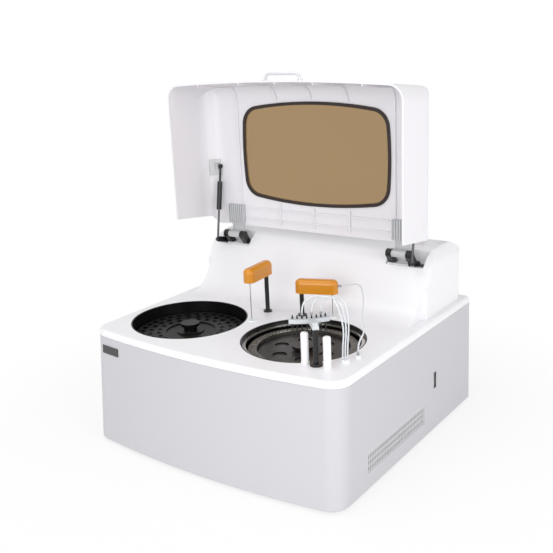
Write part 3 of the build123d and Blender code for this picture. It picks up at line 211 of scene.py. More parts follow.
def first_cuvette_angle():
    """The cuvettes stand where the right needle comes down at the end of its swing."""
    gap = (REACTION - RIGHT_POST).length
    spread = math.acos((gap ** 2 + ARM_REACH ** 2 - CUVETTE_CIRCLE ** 2) / (2 * gap * ARM_REACH))
    needle = along(RIGHT_POST, direction(RIGHT_POST, REACTION) - spread, ARM_REACH)
    return direction(REACTION, needle) % CUVETTE_PITCH


CUVETTE_START = first_cuvette_angle()
CUP_START = direction(SAMPLE, LEFT_POST)
CUP_CIRCLE = (LEFT_POST - SAMPLE).length - ARM_REACH


# ------------------------------------------------------------------ nodes of a shader or a geometry tree
def put(tree, kind, values=None, **settings):
    """Adds one node, with its settings and the values of its inputs."""
    made = tree.nodes.new(kind)
    for name, value in settings.items():
        setattr(made, name, value)
    for name, value in (values or {}).items():
        made.inputs[name].default_value = value
    return made


def join(tree, source, output, target, entry):
    tree.links.new(source.outputs[output], target.inputs[entry])


def new_group(name, kind, inputs, outputs):
    """A node group with its named sockets, and its two end nodes."""
    group = bpy.data.node_groups.new(name, kind)
    for label, socket_type, default in inputs:
        socket = group.interface.new_socket(label, in_out="INPUT", socket_type=socket_type)
        if default is not None:
            socket.default_value = default
    for label, socket_type in outputs:
        group.interface.new_socket(label, in_out="OUTPUT", socket_type=socket_type)
    return group, group.nodes.new("NodeGroupInput"), group.nodes.new("NodeGroupOutput")


def math_step(tree, operation, first, second=None):
    """A math node; each side is a number or (node, output)."""
    step = put(tree, "ShaderNodeMath", operation=operation)
    for index, side in enumerate((first, second)):
        if side is None:
            continue
        if isinstance(side, tuple):
            join(tree, side[0], side[1], step, index)
        else:
            step.inputs[index].default_value = side
    return step


# ------------------------------------------------------------------ effects that several finishes share
MIX_BELOW, MIX_ABOVE, MIX_RESULT = 6, 7, 2
CELL_SHARE = 0.35
EDGE_GAIN = 9.0
GRAIN_STRENGTH = 0.6
RING_STRENGTH = 0.8
CLEAR_STRENGTH = 0.3
CLEAR_GRAIN = 160.0
CLEAR_GRAIN_DEPTH = 0.01 * MM


def make_tone_drift():
    """Slow drift of colour and gloss over a surface."""
    group, start, end = new_group(
        "tone_drift", "ShaderNodeTree",
        [("Color", "NodeSocketColor", (0.8, 0.8, 0.8, 1.0)), ("Drift", "NodeSocketFloat", 0.03),
         ("Scale", "NodeSocketFloat", 6.0), ("Roughness", "NodeSocketFloat", 0.4),
         ("Roughness Drift", "NodeSocketFloat", 0.05)],
        [("Color", "NodeSocketColor"), ("Roughness", "NodeSocketFloat")])
    place = put(group, "ShaderNodeTexCoord")
    cloud = put(group, "ShaderNodeTexNoise", {"Detail": 3.0, "Roughness": 0.55})
    join(group, place, "Object", cloud, "Vector")
    join(group, start, "Scale", cloud, "Scale")
    centred = math_step(group, "SUBTRACT", (cloud, 0), 0.5)
    drift = math_step(group, "MULTIPLY", (centred, 0), (start, "Drift"))
    value = math_step(group, "ADD", (drift, 0), 1.0)
    shift = put(group, "ShaderNodeHueSaturation")
    join(group, value, 0, shift, "Value")
    join(group, start, "Color", shift, "Color")
    join(group, shift, "Color", end, "Color")
    gloss = math_step(group, "MULTIPLY", (centred, 0), (start, "Roughness Drift"))
    gloss_sum = math_step(group, "ADD", (gloss, 0), (start, "Roughness"))
    join(group, gloss_sum, 0, end, "Roughness")
    return group


def make_fine_grain():
    """Fine moulded or coated texture, as a height."""
    group, start, end = new_group("fine_grain", "ShaderNodeTree", [("Scale", "NodeSocketFloat", 900.0)],
                                  [("Height", "NodeSocketFloat")])
    place = put(group, "ShaderNodeTexCoord")
    fine = put(group, "ShaderNodeTexNoise", {"Detail": 2.0})
    cells = put(group, "ShaderNodeTexVoronoi")
    for texture in (fine, cells):
        join(group, place, "Object", texture, "Vector")
        join(group, start, "Scale", texture, "Scale")
    low_share = math_step(group, "MULTIPLY", (cells, "Distance"), CELL_SHARE)
    height = math_step(group, "ADD", (fine, 0), (low_share, 0))
    join(group, height, 0, end, "Height")
    return group


def make_edge_wear():
    """Mask of outer edges, broken up, for rubbed paint and plastic."""
    group, start, end = new_group("edge_wear", "ShaderNodeTree",
                                  [("Width", "NodeSocketFloat", 1.5 * MM), ("Amount", "NodeSocketFloat", 0.5)],
                                  [("Mask", "NodeSocketFloat")])
    rounded = put(group, "ShaderNodeBevel", samples=4)
    join(group, start, "Width", rounded, "Radius")
    plain = put(group, "ShaderNodeNewGeometry")
    likeness = put(group, "ShaderNodeVectorMath", operation="DOT_PRODUCT")
    join(group, rounded, "Normal", likeness, 0)
    join(group, plain, "Normal", likeness, 1)
    edge = math_step(group, "SUBTRACT", 1.0, (likeness, "Value"))
    place = put(group, "ShaderNodeTexCoord")
    patches = put(group, "ShaderNodeTexNoise", {"Scale": 90.0, "Detail": 4.0})
    join(group, place, "Object", patches, "Vector")
    broken = math_step(group, "MULTIPLY", (edge, 0), (patches, 0))
    strong = math_step(group, "MULTIPLY", (broken, 0), EDGE_GAIN)
    scaled = math_step(group, "MULTIPLY", (strong, 0), (start, "Amount"))
    mask = math_step(group, "MINIMUM", (scaled, 0), 1.0)
    join(group, mask, 0, end, "Mask")
    return group


def make_turned_rings():
    """Fine rings about an upright axis, as a height and a mask."""
    group, start, end = new_group(
        "turned_rings", "ShaderNodeTree",
        [("Centre", "NodeSocketVector", (0.0, 0.0, 0.0)), ("Pitch", "NodeSocketFloat", 0.8 * MM)],
        [("Height", "NodeSocketFloat")])
    place = put(group, "ShaderNodeTexCoord")
    offset = put(group, "ShaderNodeVectorMath", operation="SUBTRACT")
    join(group, place, "Object", offset, 0)
    join(group, start, "Centre", offset, 1)
    flat = put(group, "ShaderNodeVectorMath", operation="MULTIPLY")
    flat.inputs[1].default_value = (1.0, 1.0, 0.0)
    join(group, offset, "Vector", flat, 0)
    radius = put(group, "ShaderNodeVectorMath", operation="LENGTH")
    join(group, flat, "Vector", radius, 0)
    turns = math_step(group, "DIVIDE", (radius, "Value"), (start, "Pitch"))
    rings = put(group, "ShaderNodeTexNoise", {"Scale": 1.0, "Detail": 3.0}, noise_dimensions="1D")
    join(group, turns, 0, rings, "W")
    join(group, rings, 0, end, "Height")
    return group


def make_settled_dust():
    """Mask of faces that look up, broken up, where dust lies."""
    group, start, end = new_group("settled_dust", "ShaderNodeTree", [("Amount", "NodeSocketFloat", 0.15)],
                                  [("Mask", "NodeSocketFloat")])
    plain = put(group, "ShaderNodeNewGeometry")
    parts = put(group, "ShaderNodeSeparateXYZ")
    join(group, plain, "Normal", parts, "Vector")
    upward = math_step(group, "MAXIMUM", (parts, "Z"), 0.0)
    place = put(group, "ShaderNodeTexCoord")
    patches = put(group, "ShaderNodeTexNoise", {"Scale": 45.0, "Detail": 6.0, "Roughness": 0.7})
    join(group, place, "Object", patches, "Vector")
    broken = math_step(group, "MULTIPLY", (upward, 0), (patches, 0))
    mask = math_step(group, "MULTIPLY", (broken, 0), (start, "Amount"))
    join(group, mask, 0, end, "Mask")
    return group


effects = {}
finishes = {}


def effect(name):
    """The shared effect of that name, built once."""
    makers = {"tone_drift": make_tone_drift, "fine_grain": make_fine_grain, "edge_wear": make_edge_wear,
              "turned_rings": make_turned_rings, "settled_dust": make_settled_dust}
    if name not in effects:
        effects[name] = makers[name]()
    return effects[name]


def put_effect(tree, name, values):
    """Adds a shared effect with the values of its inputs."""
    made = put(tree, "ShaderNodeGroup", node_tree=effect(name))
    for label, value in values.items():
        made.inputs[label].default_value = value
    return made


def solid_colour(colour):
    return (*colour, 1.0)


def start_finish(name, constants):
    """A material with one Principled shader and its plain values."""
    material = bpy.data.materials.new(name)
    material.use_nodes = True
    tree = material.node_tree
    tree.nodes.clear()
    output = put(tree, "ShaderNodeOutputMaterial")
    shader = put(tree, "ShaderNodeBsdfPrincipled", constants)
    join(tree, shader, "BSDF", output, "Surface")
    return material, tree, shader


def add_bump(tree, shader, height_node, height_output, depth, strength):
    bump = put(tree, "ShaderNodeBump", {"Distance": depth, "Strength": strength})
    join(tree, height_node, height_output, bump, "Height")
    join(tree, bump, "Normal", shader, "Normal")


def layer_colour(tree, below, below_output, mask, colour):
    """Lays a colour over another where the mask says."""
    mix = put(tree, "ShaderNodeMix", data_type="RGBA")
    join(tree, mask, "Mask", mix, "Factor")
    join(tree, below, below_output, mix, MIX_BELOW)
    mix.inputs[MIX_ABOVE].default_value = solid_colour(colour)
    return mix


def coated(name, colour, roughness=0.4, drift=0.03, drift_scale=5.0, grain=900.0, grain_depth=0.02 * MM,
           wear=0.0, wear_colour=(0.5, 0.5, 0.5), dust=0.0, constants=None):
    """A moulded or painted finish: drifting tone, fine grain, rubbed edges and settled dust."""
    if name in finishes:
        return finishes[name]
    material, tree, shader = start_finish(name, constants or {})
    tint = put_effect(tree, "tone_drift", {"Color": solid_colour(colour), "Drift": drift, "Scale": drift_scale,
                                           "Roughness": roughness, "Roughness Drift": 0.12})
    last, last_output = tint, "Color"
    if wear:
        mask = put_effect(tree, "edge_wear", {"Amount": wear})
        last, last_output = layer_colour(tree, last, last_output, mask, wear_colour), MIX_RESULT
    if dust:
        mask = put_effect(tree, "settled_dust", {"Amount": dust})
        last, last_output = layer_colour(tree, last, last_output, mask, tone(150, 148, 145)), MIX_RESULT
    join(tree, last, last_output, shader, "Base Color")
    join(tree, tint, "Roughness", shader, "Roughness")
    texture = put_effect(tree, "fine_grain", {"Scale": grain})
    add_bump(tree, shader, texture, "Height", grain_depth, GRAIN_STRENGTH)
    finishes[name] = material
    return material


def turned(name, colour, centre, roughness=0.28, pitch=0.8 * MM, depth=0.01 * MM, metallic=1.0, dust=0.0,
           specular=0.5):
    """Bare or coated turned stock, with fine rings about its upright axis."""
    if name in finishes:
        return finishes[name]
    material, tree, shader = start_finish(name, {"Metallic": metallic, "Specular IOR Level": specular})
    tint = put_effect(tree, "tone_drift", {"Color": solid_colour(colour), "Drift": 0.08, "Scale": 14.0,
                                           "Roughness": roughness, "Roughness Drift": 0.15})
    last, last_output = tint, "Color"
    if dust:
        mask = put_effect(tree, "settled_dust", {"Amount": dust})
        last, last_output = layer_colour(tree, last, last_output, mask, tone(170, 166, 158)), MIX_RESULT
    join(tree, last, last_output, shader, "Base Color")
    join(tree, tint, "Roughness", shader, "Roughness")
    rings = put_effect(tree, "turned_rings", {"Centre": tuple(centre), "Pitch": pitch})
    add_bump(tree, shader, rings, "Height", depth, RING_STRENGTH)
    finishes[name] = material
    return material


def clear(name, colour, roughness, transmission, ior=1.45, drift=0.02):
    """A see-through plastic."""
    if name in finishes:
        return finishes[name]
    material, tree, shader = start_finish(name, {"Transmission Weight": transmission, "IOR": ior})
    tint = put_effect(tree, "tone_drift", {"Color": solid_colour(colour), "Drift": drift, "Scale": 7.0,
                                           "Roughness": roughness, "Roughness Drift": 0.04})
    join(tree, tint, "Color", shader, "Base Color")
    join(tree, tint, "Roughness", shader, "Roughness")
    texture = put_effect(tree, "fine_grain", {"Scale": CLEAR_GRAIN})
    add_bump(tree, shader, texture, "Height", CLEAR_GRAIN_DEPTH, CLEAR_STRENGTH)
    finishes[name] = material
    return material


# ------------------------------------------------------------------ meshes
def link(name, mesh):
    made = bpy.data.objects.new(name, mesh)
    bpy.context.scene.collection.objects.link(made)
    return made


def smooth_mesh(mesh, edge=0.0):
    """Welds a mesh, rounds its sharp edges by edge, and shades its curved faces smooth."""
    shape = bmesh.new()
    shape.from_mesh(mesh)
    bmesh.ops.remove_doubles(shape, verts=shape.verts, dist=MERGE_DISTANCE)
    if edge:
        bmesh.ops.dissolve_limit(shape, angle_limit=math.radians(FLAT_DEGREES), verts=shape.verts,
                                 edges=shape.edges)
        sharp = [line for line in shape.edges if line.calc_face_angle(0.0) > math.radians(SMOOTH_DEGREES)]
        bmesh.ops.bevel(shape, geom=sharp, offset=edge, offset_type="OFFSET", segments=2, profile=0.5,
                        affect="EDGES", clamp_overlap=True)
    shape.normal_update()
    for face in shape.faces:
        face.smooth = True
    for line in shape.edges:
        line.smooth = line.calc_face_angle(0.0) < math.radians(SMOOTH_DEGREES)
    shape.to_mesh(mesh)
    shape.free()


def node_body(node):
    return frame["nodes"][node]["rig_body"]


def paint(piece, *materials):
    piece.data.materials.clear()
    for material in materials:
        piece.data.materials.append(material)


def dress(node, material, edge=0.0):
    """A welded, smoothly shaded copy of a node, which stands for it."""
    mesh = frame["nodes"][node].data.copy()
    piece = link(f"{node}_finished", mesh)
    smooth_mesh(mesh, edge)
    paint(piece, material)
    even = piece.modifiers.new("even_normals", "WEIGHTED_NORMAL")
    even.keep_sharp = True
    even.weight = NORMAL_WEIGHT
    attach(piece, node_body(node))
    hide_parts(node)
    return piece


def keep(node, material):
    """A node that shows as it is, with its finish."""
    paint(frame["nodes"][node], material)


def middle(node):
    low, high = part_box(node)
    return (low + high) / 2


def evaluated_mesh(source, name):
    """The final mesh of an object with its modifiers, as a new object; the source goes."""
    bpy.context.view_layer.update()
    graph = bpy.context.evaluated_depsgraph_get()
    mesh = bpy.data.meshes.new_from_object(source.evaluated_get(graph), depsgraph=graph)
    bpy.data.objects.remove(source)
    return link(name, mesh)


# ------------------------------------------------------------------ repeated parts
def ring_tree():
    """Copies of one part in a ring about an upright axis, each turned outwards."""
    if "ring_of_parts" in bpy.data.node_groups:
        return bpy.data.node_groups["ring_of_parts"]
    group, start, end = new_group(
        "ring_of_parts", "GeometryNodeTree",
        [("Geometry", "NodeSocketGeometry", None), ("Count", "NodeSocketInt", 12),
         ("Radius", "NodeSocketFloat", 0.1), ("Centre", "NodeSocketVector", (0.0, 0.0, 0.0)),
         ("Turn", "NodeSocketVector", (0.0, 0.0, 0.0)), ("Finish", "NodeSocketMaterial", None)],
        [("Geometry", "NodeSocketGeometry")])
    circle = put(group, "GeometryNodeMeshCircle")
    join(group, start, "Count", circle, "Vertices")
    join(group, start, "Radius", circle, "Radius")
    place = put(group, "GeometryNodeInputPosition")
    outward = put(group, "FunctionNodeAlignRotationToVector", axis="X")
    join(group, place, "Position", outward, "Vector")
    copies = put(group, "GeometryNodeInstanceOnPoints")
    join(group, circle, "Mesh", copies, "Points")
    join(group, start, "Geometry", copies, "Instance")
    join(group, outward, "Rotation", copies, "Rotation")
    move = put(group, "GeometryNodeTransform")
    join(group, copies, "Instances", move, "Geometry")
    join(group, start, "Centre", move, "Translation")
    join(group, start, "Turn", move, "Rotation")
    finish_copies(group, start, move, "Geometry", end)
    return group


def finish_copies(group, start, last, output, end):
    """Ends a tree with real copies in their finish."""
    real = put(group, "GeometryNodeRealizeInstances")
    join(group, last, output, real, "Geometry")
    painted = put(group, "GeometryNodeSetMaterial")
    join(group, real, "Geometry", painted, "Geometry")
    join(group, start, "Finish", painted, "Material")
    join(group, painted, "Geometry", end, "Geometry")


def row_tree():
    """Copies of one part in a straight row."""
    if "row_of_parts" in bpy.data.node_groups:
        return bpy.data.node_groups["row_of_parts"]
    group, start, end = new_group(
        "row_of_parts", "GeometryNodeTree",
        [("Geometry", "NodeSocketGeometry", None), ("Count", "NodeSocketInt", 2),
         ("First", "NodeSocketVector", (0.0, 0.0, 0.0)), ("Step", "NodeSocketVector", (0.01, 0.0, 0.0)),
         ("Finish", "NodeSocketMaterial", None)],
        [("Geometry", "NodeSocketGeometry")])
    line = put(group, "GeometryNodeMeshLine", mode="OFFSET")
    join(group, start, "Count", line, "Count")
    join(group, start, "First", line, "Start Location")
    join(group, start, "Step", line, "Offset")
    copies = put(group, "GeometryNodeInstanceOnPoints")
    join(group, line, "Mesh", copies, "Points")
    join(group, start, "Geometry", copies, "Instance")
    finish_copies(group, start, copies, "Instances", end)
    return group


def repeat(name, mesh, tree, values):
    """Runs a tree on one part's mesh and returns the plain mesh of all its copies."""
    source = link(f"{name}_source", mesh)
    modifier = source.modifiers.new("copies", "NODES")
    modifier.node_group = tree
    for item in tree.interface.items_tree:
        if item.item_type == "SOCKET" and item.in_out == "INPUT" and item.name in values:
            modifier[item.identifier] = values[item.name]
    return evaluated_mesh(source, name)


def lathe_mesh(name, profile, sides):
    """A body of revolution about Z from (radius, height) points, bottom to top."""
    shape = bmesh.new()
    rings = []
    for radius, height in profile:
        if radius == 0:
            rings.append([shape.verts.new((0.0, 0.0, height))])
            continue
        turns = [2 * math.pi * side / sides for side in range(sides)]
        rings.append([shape.verts.new((radius * math.cos(turn), radius * math.sin(turn), height))
                      for turn in turns])
    for below, above in zip(rings, rings[1:]):
        for side in range(sides):
            corners = [below[side % len(below)], below[(side + 1) % len(below)],
                       above[(side + 1) % len(above)], above[side % len(above)]]
            unique = list(dict.fromkeys(corners))
            if len(unique) > 2:
                shape.faces.new(unique)
    bmesh.ops.recalc_face_normals(shape, faces=shape.faces)
    mesh = bpy.data.meshes.new(name)
    shape.to_mesh(mesh)
    shape.free()
    return mesh


def screw_mesh(radius):
    """A pan head with a hexagon socket, base at the origin, looking up."""
    high = radius * SCREW_HEAD_HEIGHT
    socket = radius * SCREW_SOCKET
    profile = [(0.0, 0.0), (radius, 0.0), (radius, high * 0.55), (radius * 0.82, high * 0.9),
               (radius * 0.55, high), (socket, high), (socket, high * 0.35), (0.0, high * 0.35)]
    return lathe_mesh("screw", profile, SCREW_SIDES)


def box_cup_mesh(name, length, width, wall, depth):
    """A thin square cup with its open mouth at z 0."""
    shape = bmesh.new()
    half_length, half_width = length / 2, width / 2
    rings = []
    for inset, height in ((0.0, -depth), (0.0, 0.0), (wall, 0.0), (wall, wall - depth)):
        x, y = half_length - inset, half_width - inset
        rings.append([shape.verts.new(corner) for corner in
                      ((-x, -y, height), (x, -y, height), (x, y, height), (-x, y, height))])
    for below, above in zip(rings, rings[1:]):
        for side in range(4):
            shape.faces.new((below[side], below[(side + 1) % 4], above[(side + 1) % 4], above[side]))
    shape.faces.new(rings[0])
    shape.faces.new(rings[-1])
    bmesh.ops.recalc_face_normals(shape, faces=shape.faces)
    mesh = bpy.data.meshes.new(name)
    shape.to_mesh(mesh)
    shape.free()
    return mesh


# ------------------------------------------------------------------ finishes by name
def colours():
    return bpy.context.scene.analyzer_colours


def sizes():
    return bpy.context.scene.analyzer_sizes


def case_finish():
    return coated("case_plastic", colours().case, roughness=0.42, drift=0.02, drift_scale=3.0)


def cover_finish():
    return coated("cover_plastic", colours().cover, roughness=0.34, drift=0.02, drift_scale=3.0,
                  constants={"Coat Weight": 0.15, "Coat Roughness": 0.2})


def lid_finish():
    return coated("lid_plastic", colours().lid, roughness=0.36, drift=0.02, drift_scale=3.0,
                  constants={"Coat Weight": 0.12, "Coat Roughness": 0.25})


def black_finish():
    return coated("black_coat", colours().black, roughness=0.33, drift=0.2, grain=1400.0, wear=0.25,
                  wear_colour=tone(90, 88, 85), dust=0.06)


def black_moulding():
    return coated("black_moulding", colours().black, roughness=0.4, drift=0.25, grain=700.0, dust=0.1)


def arm_finish():
    return coated("arm_plastic", colours().arm, roughness=0.3, drift=0.1, drift_scale=18.0, grain=1200.0,
                  wear=0.15, wear_colour=tone(240, 190, 110),
                  constants={"Coat Weight": 0.3, "Coat Roughness": 0.15, "Subsurface Weight": 0.05})


def milky_finish():
    return coated("milky_plastic", colours().milky, roughness=0.38, drift=0.03, drift_scale=22.0,
                  constants={"Subsurface Weight": 0.2, "Subsurface Scale": 4 * MM})


def bracket_finish():
    return coated("bracket_coat", tone(226, 226, 228), roughness=0.35, drift=0.04, drift_scale=30.0, wear=0.3,
                  wear_colour=tone(160, 160, 162))


def leaf_finish():
    return coated("leaf_coat", tone(196, 197, 200), roughness=0.35, drift=0.05, drift_scale=30.0, wear=0.3,
                  wear_colour=tone(150, 150, 152), constants={"Metallic": 0.2})


def steel_finish():
    return coated("plain_steel", tone(176, 176, 178), roughness=0.3, drift=0.08, drift_scale=40.0, grain=2200.0,
                  constants={"Metallic": 1.0})


def sheet_finish():
    return coated("zinc_sheet", tone(170, 172, 176), roughness=0.45, drift=0.15, drift_scale=25.0, grain=500.0,
                  constants={"Metallic": 0.6})


def tube_finish():
    return clear("clear_tube", tone(238, 241, 245), 0.2, 0.35, ior=1.38)


# ------------------------------------------------------------------ operators
class AnalyzerOperator(bpy.types.Operator):
    """One step of dressing the analyzer."""
    bl_options = {"REGISTER", "UNDO"}

    def execute(self, context):
        self.make(context)
        return {"FINISHED"}


class ANALYZER_OT_case(AnalyzerOperator):
    """Lower housing, pan, feet and the back wall's parts."""
    bl_idname = "analyzer.case"
    bl_label = "Case"

    def make(self, context):
        dress("lower_housing", case_finish())
        keep("base_pan", sheet_finish())
        dress("rubber_feet", coated("foot_rubber", tone(34, 34, 36), roughness=0.7, grain=400.0, dust=0.3))
        dress("rear_panel", coated("rear_coat", tone(205, 205, 208), roughness=0.5, grain=1600.0))
        dress("rear_screws", steel_finish())
        dress("mains_inlet", black_moulding())
        dress("rear_ports", black_moulding())
        dress("fan_frame", black_moulding())
        dress("fan_rotor", black_moulding())


class ANALYZER_OT_side_details(AnalyzerOperator):
    """Vent grille, power switch and the blank badge."""
    bl_idname = "analyzer.side_details"
    bl_label = "Side details"

    def make(self, context):
        dress("side_vent_grille", coated("vent_plastic", colours().vent, roughness=0.5))
        dress("switch_bezel", black_moulding())
        dress("power_rocker", coated("rocker_plastic", tone(30, 30, 33), roughness=0.22, wear=0.2))
        dress("badge_plate", coated("badge_plastic", tone(26, 26, 29), roughness=0.2, drift=0.1, wear=0.2,
                                    wear_colour=tone(120, 120, 122), constants={"Coat Weight": 0.5}))


class ANALYZER_OT_cover(AnalyzerOperator):
    """Deck and hump."""
    bl_idname = "analyzer.cover"
    bl_label = "Top cover"

    def make(self, context):
        dress("top_cover", cover_finish())


class ANALYZER_OT_wells(AnalyzerOperator):
    """Both wells with their carousels, cups and cuvettes."""
    bl_idname = "analyzer.wells"
    bl_label = "Wells"

    def make(self, context):
        sample, reaction = middle("sample_tub"), middle("reaction_tub")
        for node, centre in (("sample_tub", sample), ("reaction_tub", reaction)):
            dress(node, turned(f"{node}_black", colours().well, centre, roughness=0.3, pitch=2.5 * MM,
                               depth=0.05 * MM, metallic=0.0, dust=0.05, specular=0.25))
        dress("sample_tray", turned("tray_black", colours().well, sample, roughness=0.35, pitch=3.0 * MM,
                                    depth=0.04 * MM, metallic=0.0, dust=0.05, specular=0.2))
        dress("reaction_disc", turned("disc_dark", tone(27, 26, 25), reaction, roughness=0.3, pitch=3.0 * MM,
                                      depth=0.04 * MM, metallic=0.2, dust=0.12, specular=0.3))
        dress("bath_rim_ring", turned("rim_metal", colours().metal, reaction, roughness=0.22))
        dress("cuvette_ring", coated("cuvette_block", tone(60, 56, 52), roughness=0.22, drift=0.9,
                                     drift_scale=70.0, dust=0.2))
        for node in ("sample_motor", "reaction_motor", "sample_spindle", "reaction_spindle"):
            keep(node, steel_finish())
        self.add_cuvettes(reaction)
        self.add_cups(sample)

    def add_cuvettes(self, centre):
        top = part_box("cuvette_ring")[1].z
        plan = sizes()
        cup = box_cup_mesh("cuvette", plan.cuvette_length, plan.cuvette_width, plan.cuvette_wall,
                           plan.cuvette_depth)
        glassy = clear("cuvette_clear", tone(168, 160, 148), 0.08, 0.45, ior=1.5, drift=0.8)
        ring = repeat("cuvettes", cup, ring_tree(), {
            "Count": plan.cuvette_count, "Radius": CUVETTE_CIRCLE, "Turn": (0.0, 0.0, CUVETTE_START),
            "Centre": (centre.x, centre.y, top + plan.proud), "Finish": glassy})
        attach(ring, node_body("cuvette_ring"))

    def add_cups(self, centre):
        plan = sizes()
        outer, lip, depth = plan.cup_radius, plan.cup_lip, plan.cup_depth
        body = outer - lip
        inner = body - plan.cup_wall
        profile = [(0.0, -depth), (body, -depth), (body, 0.0), (outer, 0.0), (outer, lip), (inner, lip),
                   (inner, plan.cup_wall - depth), (0.0, plan.cup_wall - depth)]
        dark = coated("cup_dark", tone(17, 17, 19), roughness=0.16, drift=0.3, drift_scale=50.0,
                      constants={"Specular IOR Level": 0.3})
        top = tray_top()
        for number, count in enumerate(CUP_COUNTS):
            cups = repeat(f"sample_cups_{number + 1}", lathe_mesh("cup", profile, CUP_SIDES), ring_tree(), {
                "Count": count, "Radius": CUP_CIRCLE - number * CUP_ROW, "Turn": (0.0, 0.0, CUP_START),
                "Centre": (centre.x, centre.y, top + plan.proud), "Finish": dark})
            for face in cups.data.polygons:
                face.use_smooth = False
            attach(cups, node_body("sample_tray"))


def tray_top():
    """Height of the sample tray's flat face, below its knob."""
    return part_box("sample_tray")[1].z - TRAY_KNOB_HEIGHT


class ANALYZER_OT_arms(AnalyzerOperator):
    """Both probe arms with their lifts and wash pots."""
    bl_idname = "analyzer.arms"
    bl_label = "Probe arms"

    def make(self, context):
        for side in ("left", "right"):
            dress(f"{side}_arm_cover", arm_finish())
            dress(f"{side}_arm_column", black_finish())
            dress(f"{side}_needle", steel_finish())
            dress(f"{side}_lift_frame", black_finish())
            keep(f"{side}_lift_carriage", sheet_finish())
        dress("wash_pots", milky_finish())


class ANALYZER_OT_wash_station(AnalyzerOperator):
    """Wash column, head, needles, bottles and ports."""
    bl_idname = "analyzer.wash_station"
    bl_label = "Wash station"

    def make(self, context):
        dress("wash_guide", black_finish())
        dress("wash_post", black_finish())
        dress("wash_bottles", milky_finish())
        dress("wash_head", clear("head_milky", tone(222, 226, 230), 0.35, 0.25))
        dress("wash_needles", coated("needle_dark", tone(60, 60, 62), roughness=0.25,
                                     constants={"Metallic": 0.9}))
        dress("tube_ports", milky_finish())


# ------------------------------------------------------------------ flexible tubes
def route_curve(name, points, radius):
    """A smooth open line on these control points, with a round section of that radius."""
    data = bpy.data.curves.new(name, "CURVE")
    data.dimensions = "3D"
    data.resolution_u = TUBE_STEPS
    data.bevel_depth = radius
    data.bevel_resolution = TUBE_SIDES
    data.use_fill_caps = True
    spline = data.splines.new("NURBS")
    spline.points.add(len(points) - 1)
    for control, point in zip(spline.points, points):
        control.co = (*point, 1.0)
    spline.order_u = TUBE_ORDER
    spline.use_endpoint_u = True
    made = bpy.data.objects.new(name, data)
    bpy.context.scene.collection.objects.link(made)
    return made


def add_tube(name, node, points):
    """A clear tube on a route, from a moving part to its port in the deck."""
    diameter = sizes().tube_diameter
    bare = evaluated_mesh(route_curve(f"{name}_line", points, 0.0), f"{name}_centre")
    bpy.data.objects.remove(bare)
    tube = evaluated_mesh(route_curve(f"{name}_curve", points, diameter / 2), name)
    for face in tube.data.polygons:
        face.use_smooth = True
    paint(tube, tube_finish())
    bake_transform(tube)
    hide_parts(node)


class ANALYZER_OT_tubes(AnalyzerOperator):
    """Clear tubes of the wash head and the right arm, with their end fittings."""
    bl_idname = "analyzer.tubes"
    bl_label = "Tubes"

    def make(self, context):
        for index in range(WASH_TUBE_COUNT):
            points = wash_tube_route(index)
            add_tube(f"wash_tube_{index + 1}", "wash_tubes", points)
            self.add_fitting(f"wash_fitting_{index + 1}", points[0], points[1], "wash_head", HEAD_FITTING)
        points = probe_tube_route()
        add_tube("probe_feed_tube", "probe_tube", points)
        self.add_fitting("probe_fitting", points[0], points[1], "right_arm_cover", ARM_FITTING)
        self.add_fitting("probe_port_fitting", points[-1], points[-2], "tube_ports", PORT_FITTING)

    def add_fitting(self, name, place, towards, node, length):
        """A stepped sleeve round the end of a tube."""
        inner = sizes().tube_diameter / 2
        outer = inner + sizes().fitting_wall
        neck = outer * FITTING_NECK
        profile = [(inner, 0.0), (outer, 0.0), (outer, length * FITTING_STEP_LOW),
                   (neck, length * FITTING_STEP_HIGH), (neck, length), (inner, length)]
        mesh = lathe_mesh(name, profile, FITTING_SIDES)
        turn = (Vector(towards) - Vector(place)).to_track_quat("Z", "X").to_matrix().to_4x4()
        mesh.transform(Matrix.Translation(place) @ turn)
        sleeve = link(name, mesh)
        smooth_mesh(mesh)
        paint(sleeve, coated("fitting_grey", tone(150, 151, 154), roughness=0.35, drift=0.1, grain=1500.0))
        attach(sleeve, node_body(node))


def wash_needle_place(number):
    """Place of a wash needle, which stands over a cuvette near the wash column."""
    first = round((direction(REACTION, WASH_POST) - CUVETTE_START) / CUVETTE_PITCH) - WASH_NEEDLES // 2
    return along(REACTION, CUVETTE_START + CUVETTE_PITCH * (first + number), CUVETTE_CIRCLE)


def route(points):
    """Points in millimetres as points in metres."""
    return [tuple(value * MM for value in point) for point in points]


def wash_tube_route(index):
    """Control points of one wash tube: up from its sleeve, over, and down into the port."""
    start = wash_needle_place(WASH_NEEDLES - 2 - 2 * index) / MM
    top = WASH_SLEEVE_TOP_Z / MM
    port_top = PORT_TOP_Z / MM
    swing = 5.0 * (index - 1)
    end = WASH_PORT / MM + Vector((3.0 * (index - 1), 5.0 * (index - 1)))
    return route([
        (start.x, start.y, top),
        (start.x, start.y, top + 16),
        (start.x + 9, start.y + 4, top + 32 + index * 3),
        (start.x + 28, start.y + 6 + swing, top + 42 + index * 2),
        (end.x - 22 + index, end.y + 14 + swing, top + 34 + index),
        (end.x - 5, end.y + 8 + swing, top + 8),
        (end.x + 3, end.y + 3, top - 28),
        (end.x, end.y, port_top + 26),
        (end.x, end.y, port_top),
    ])


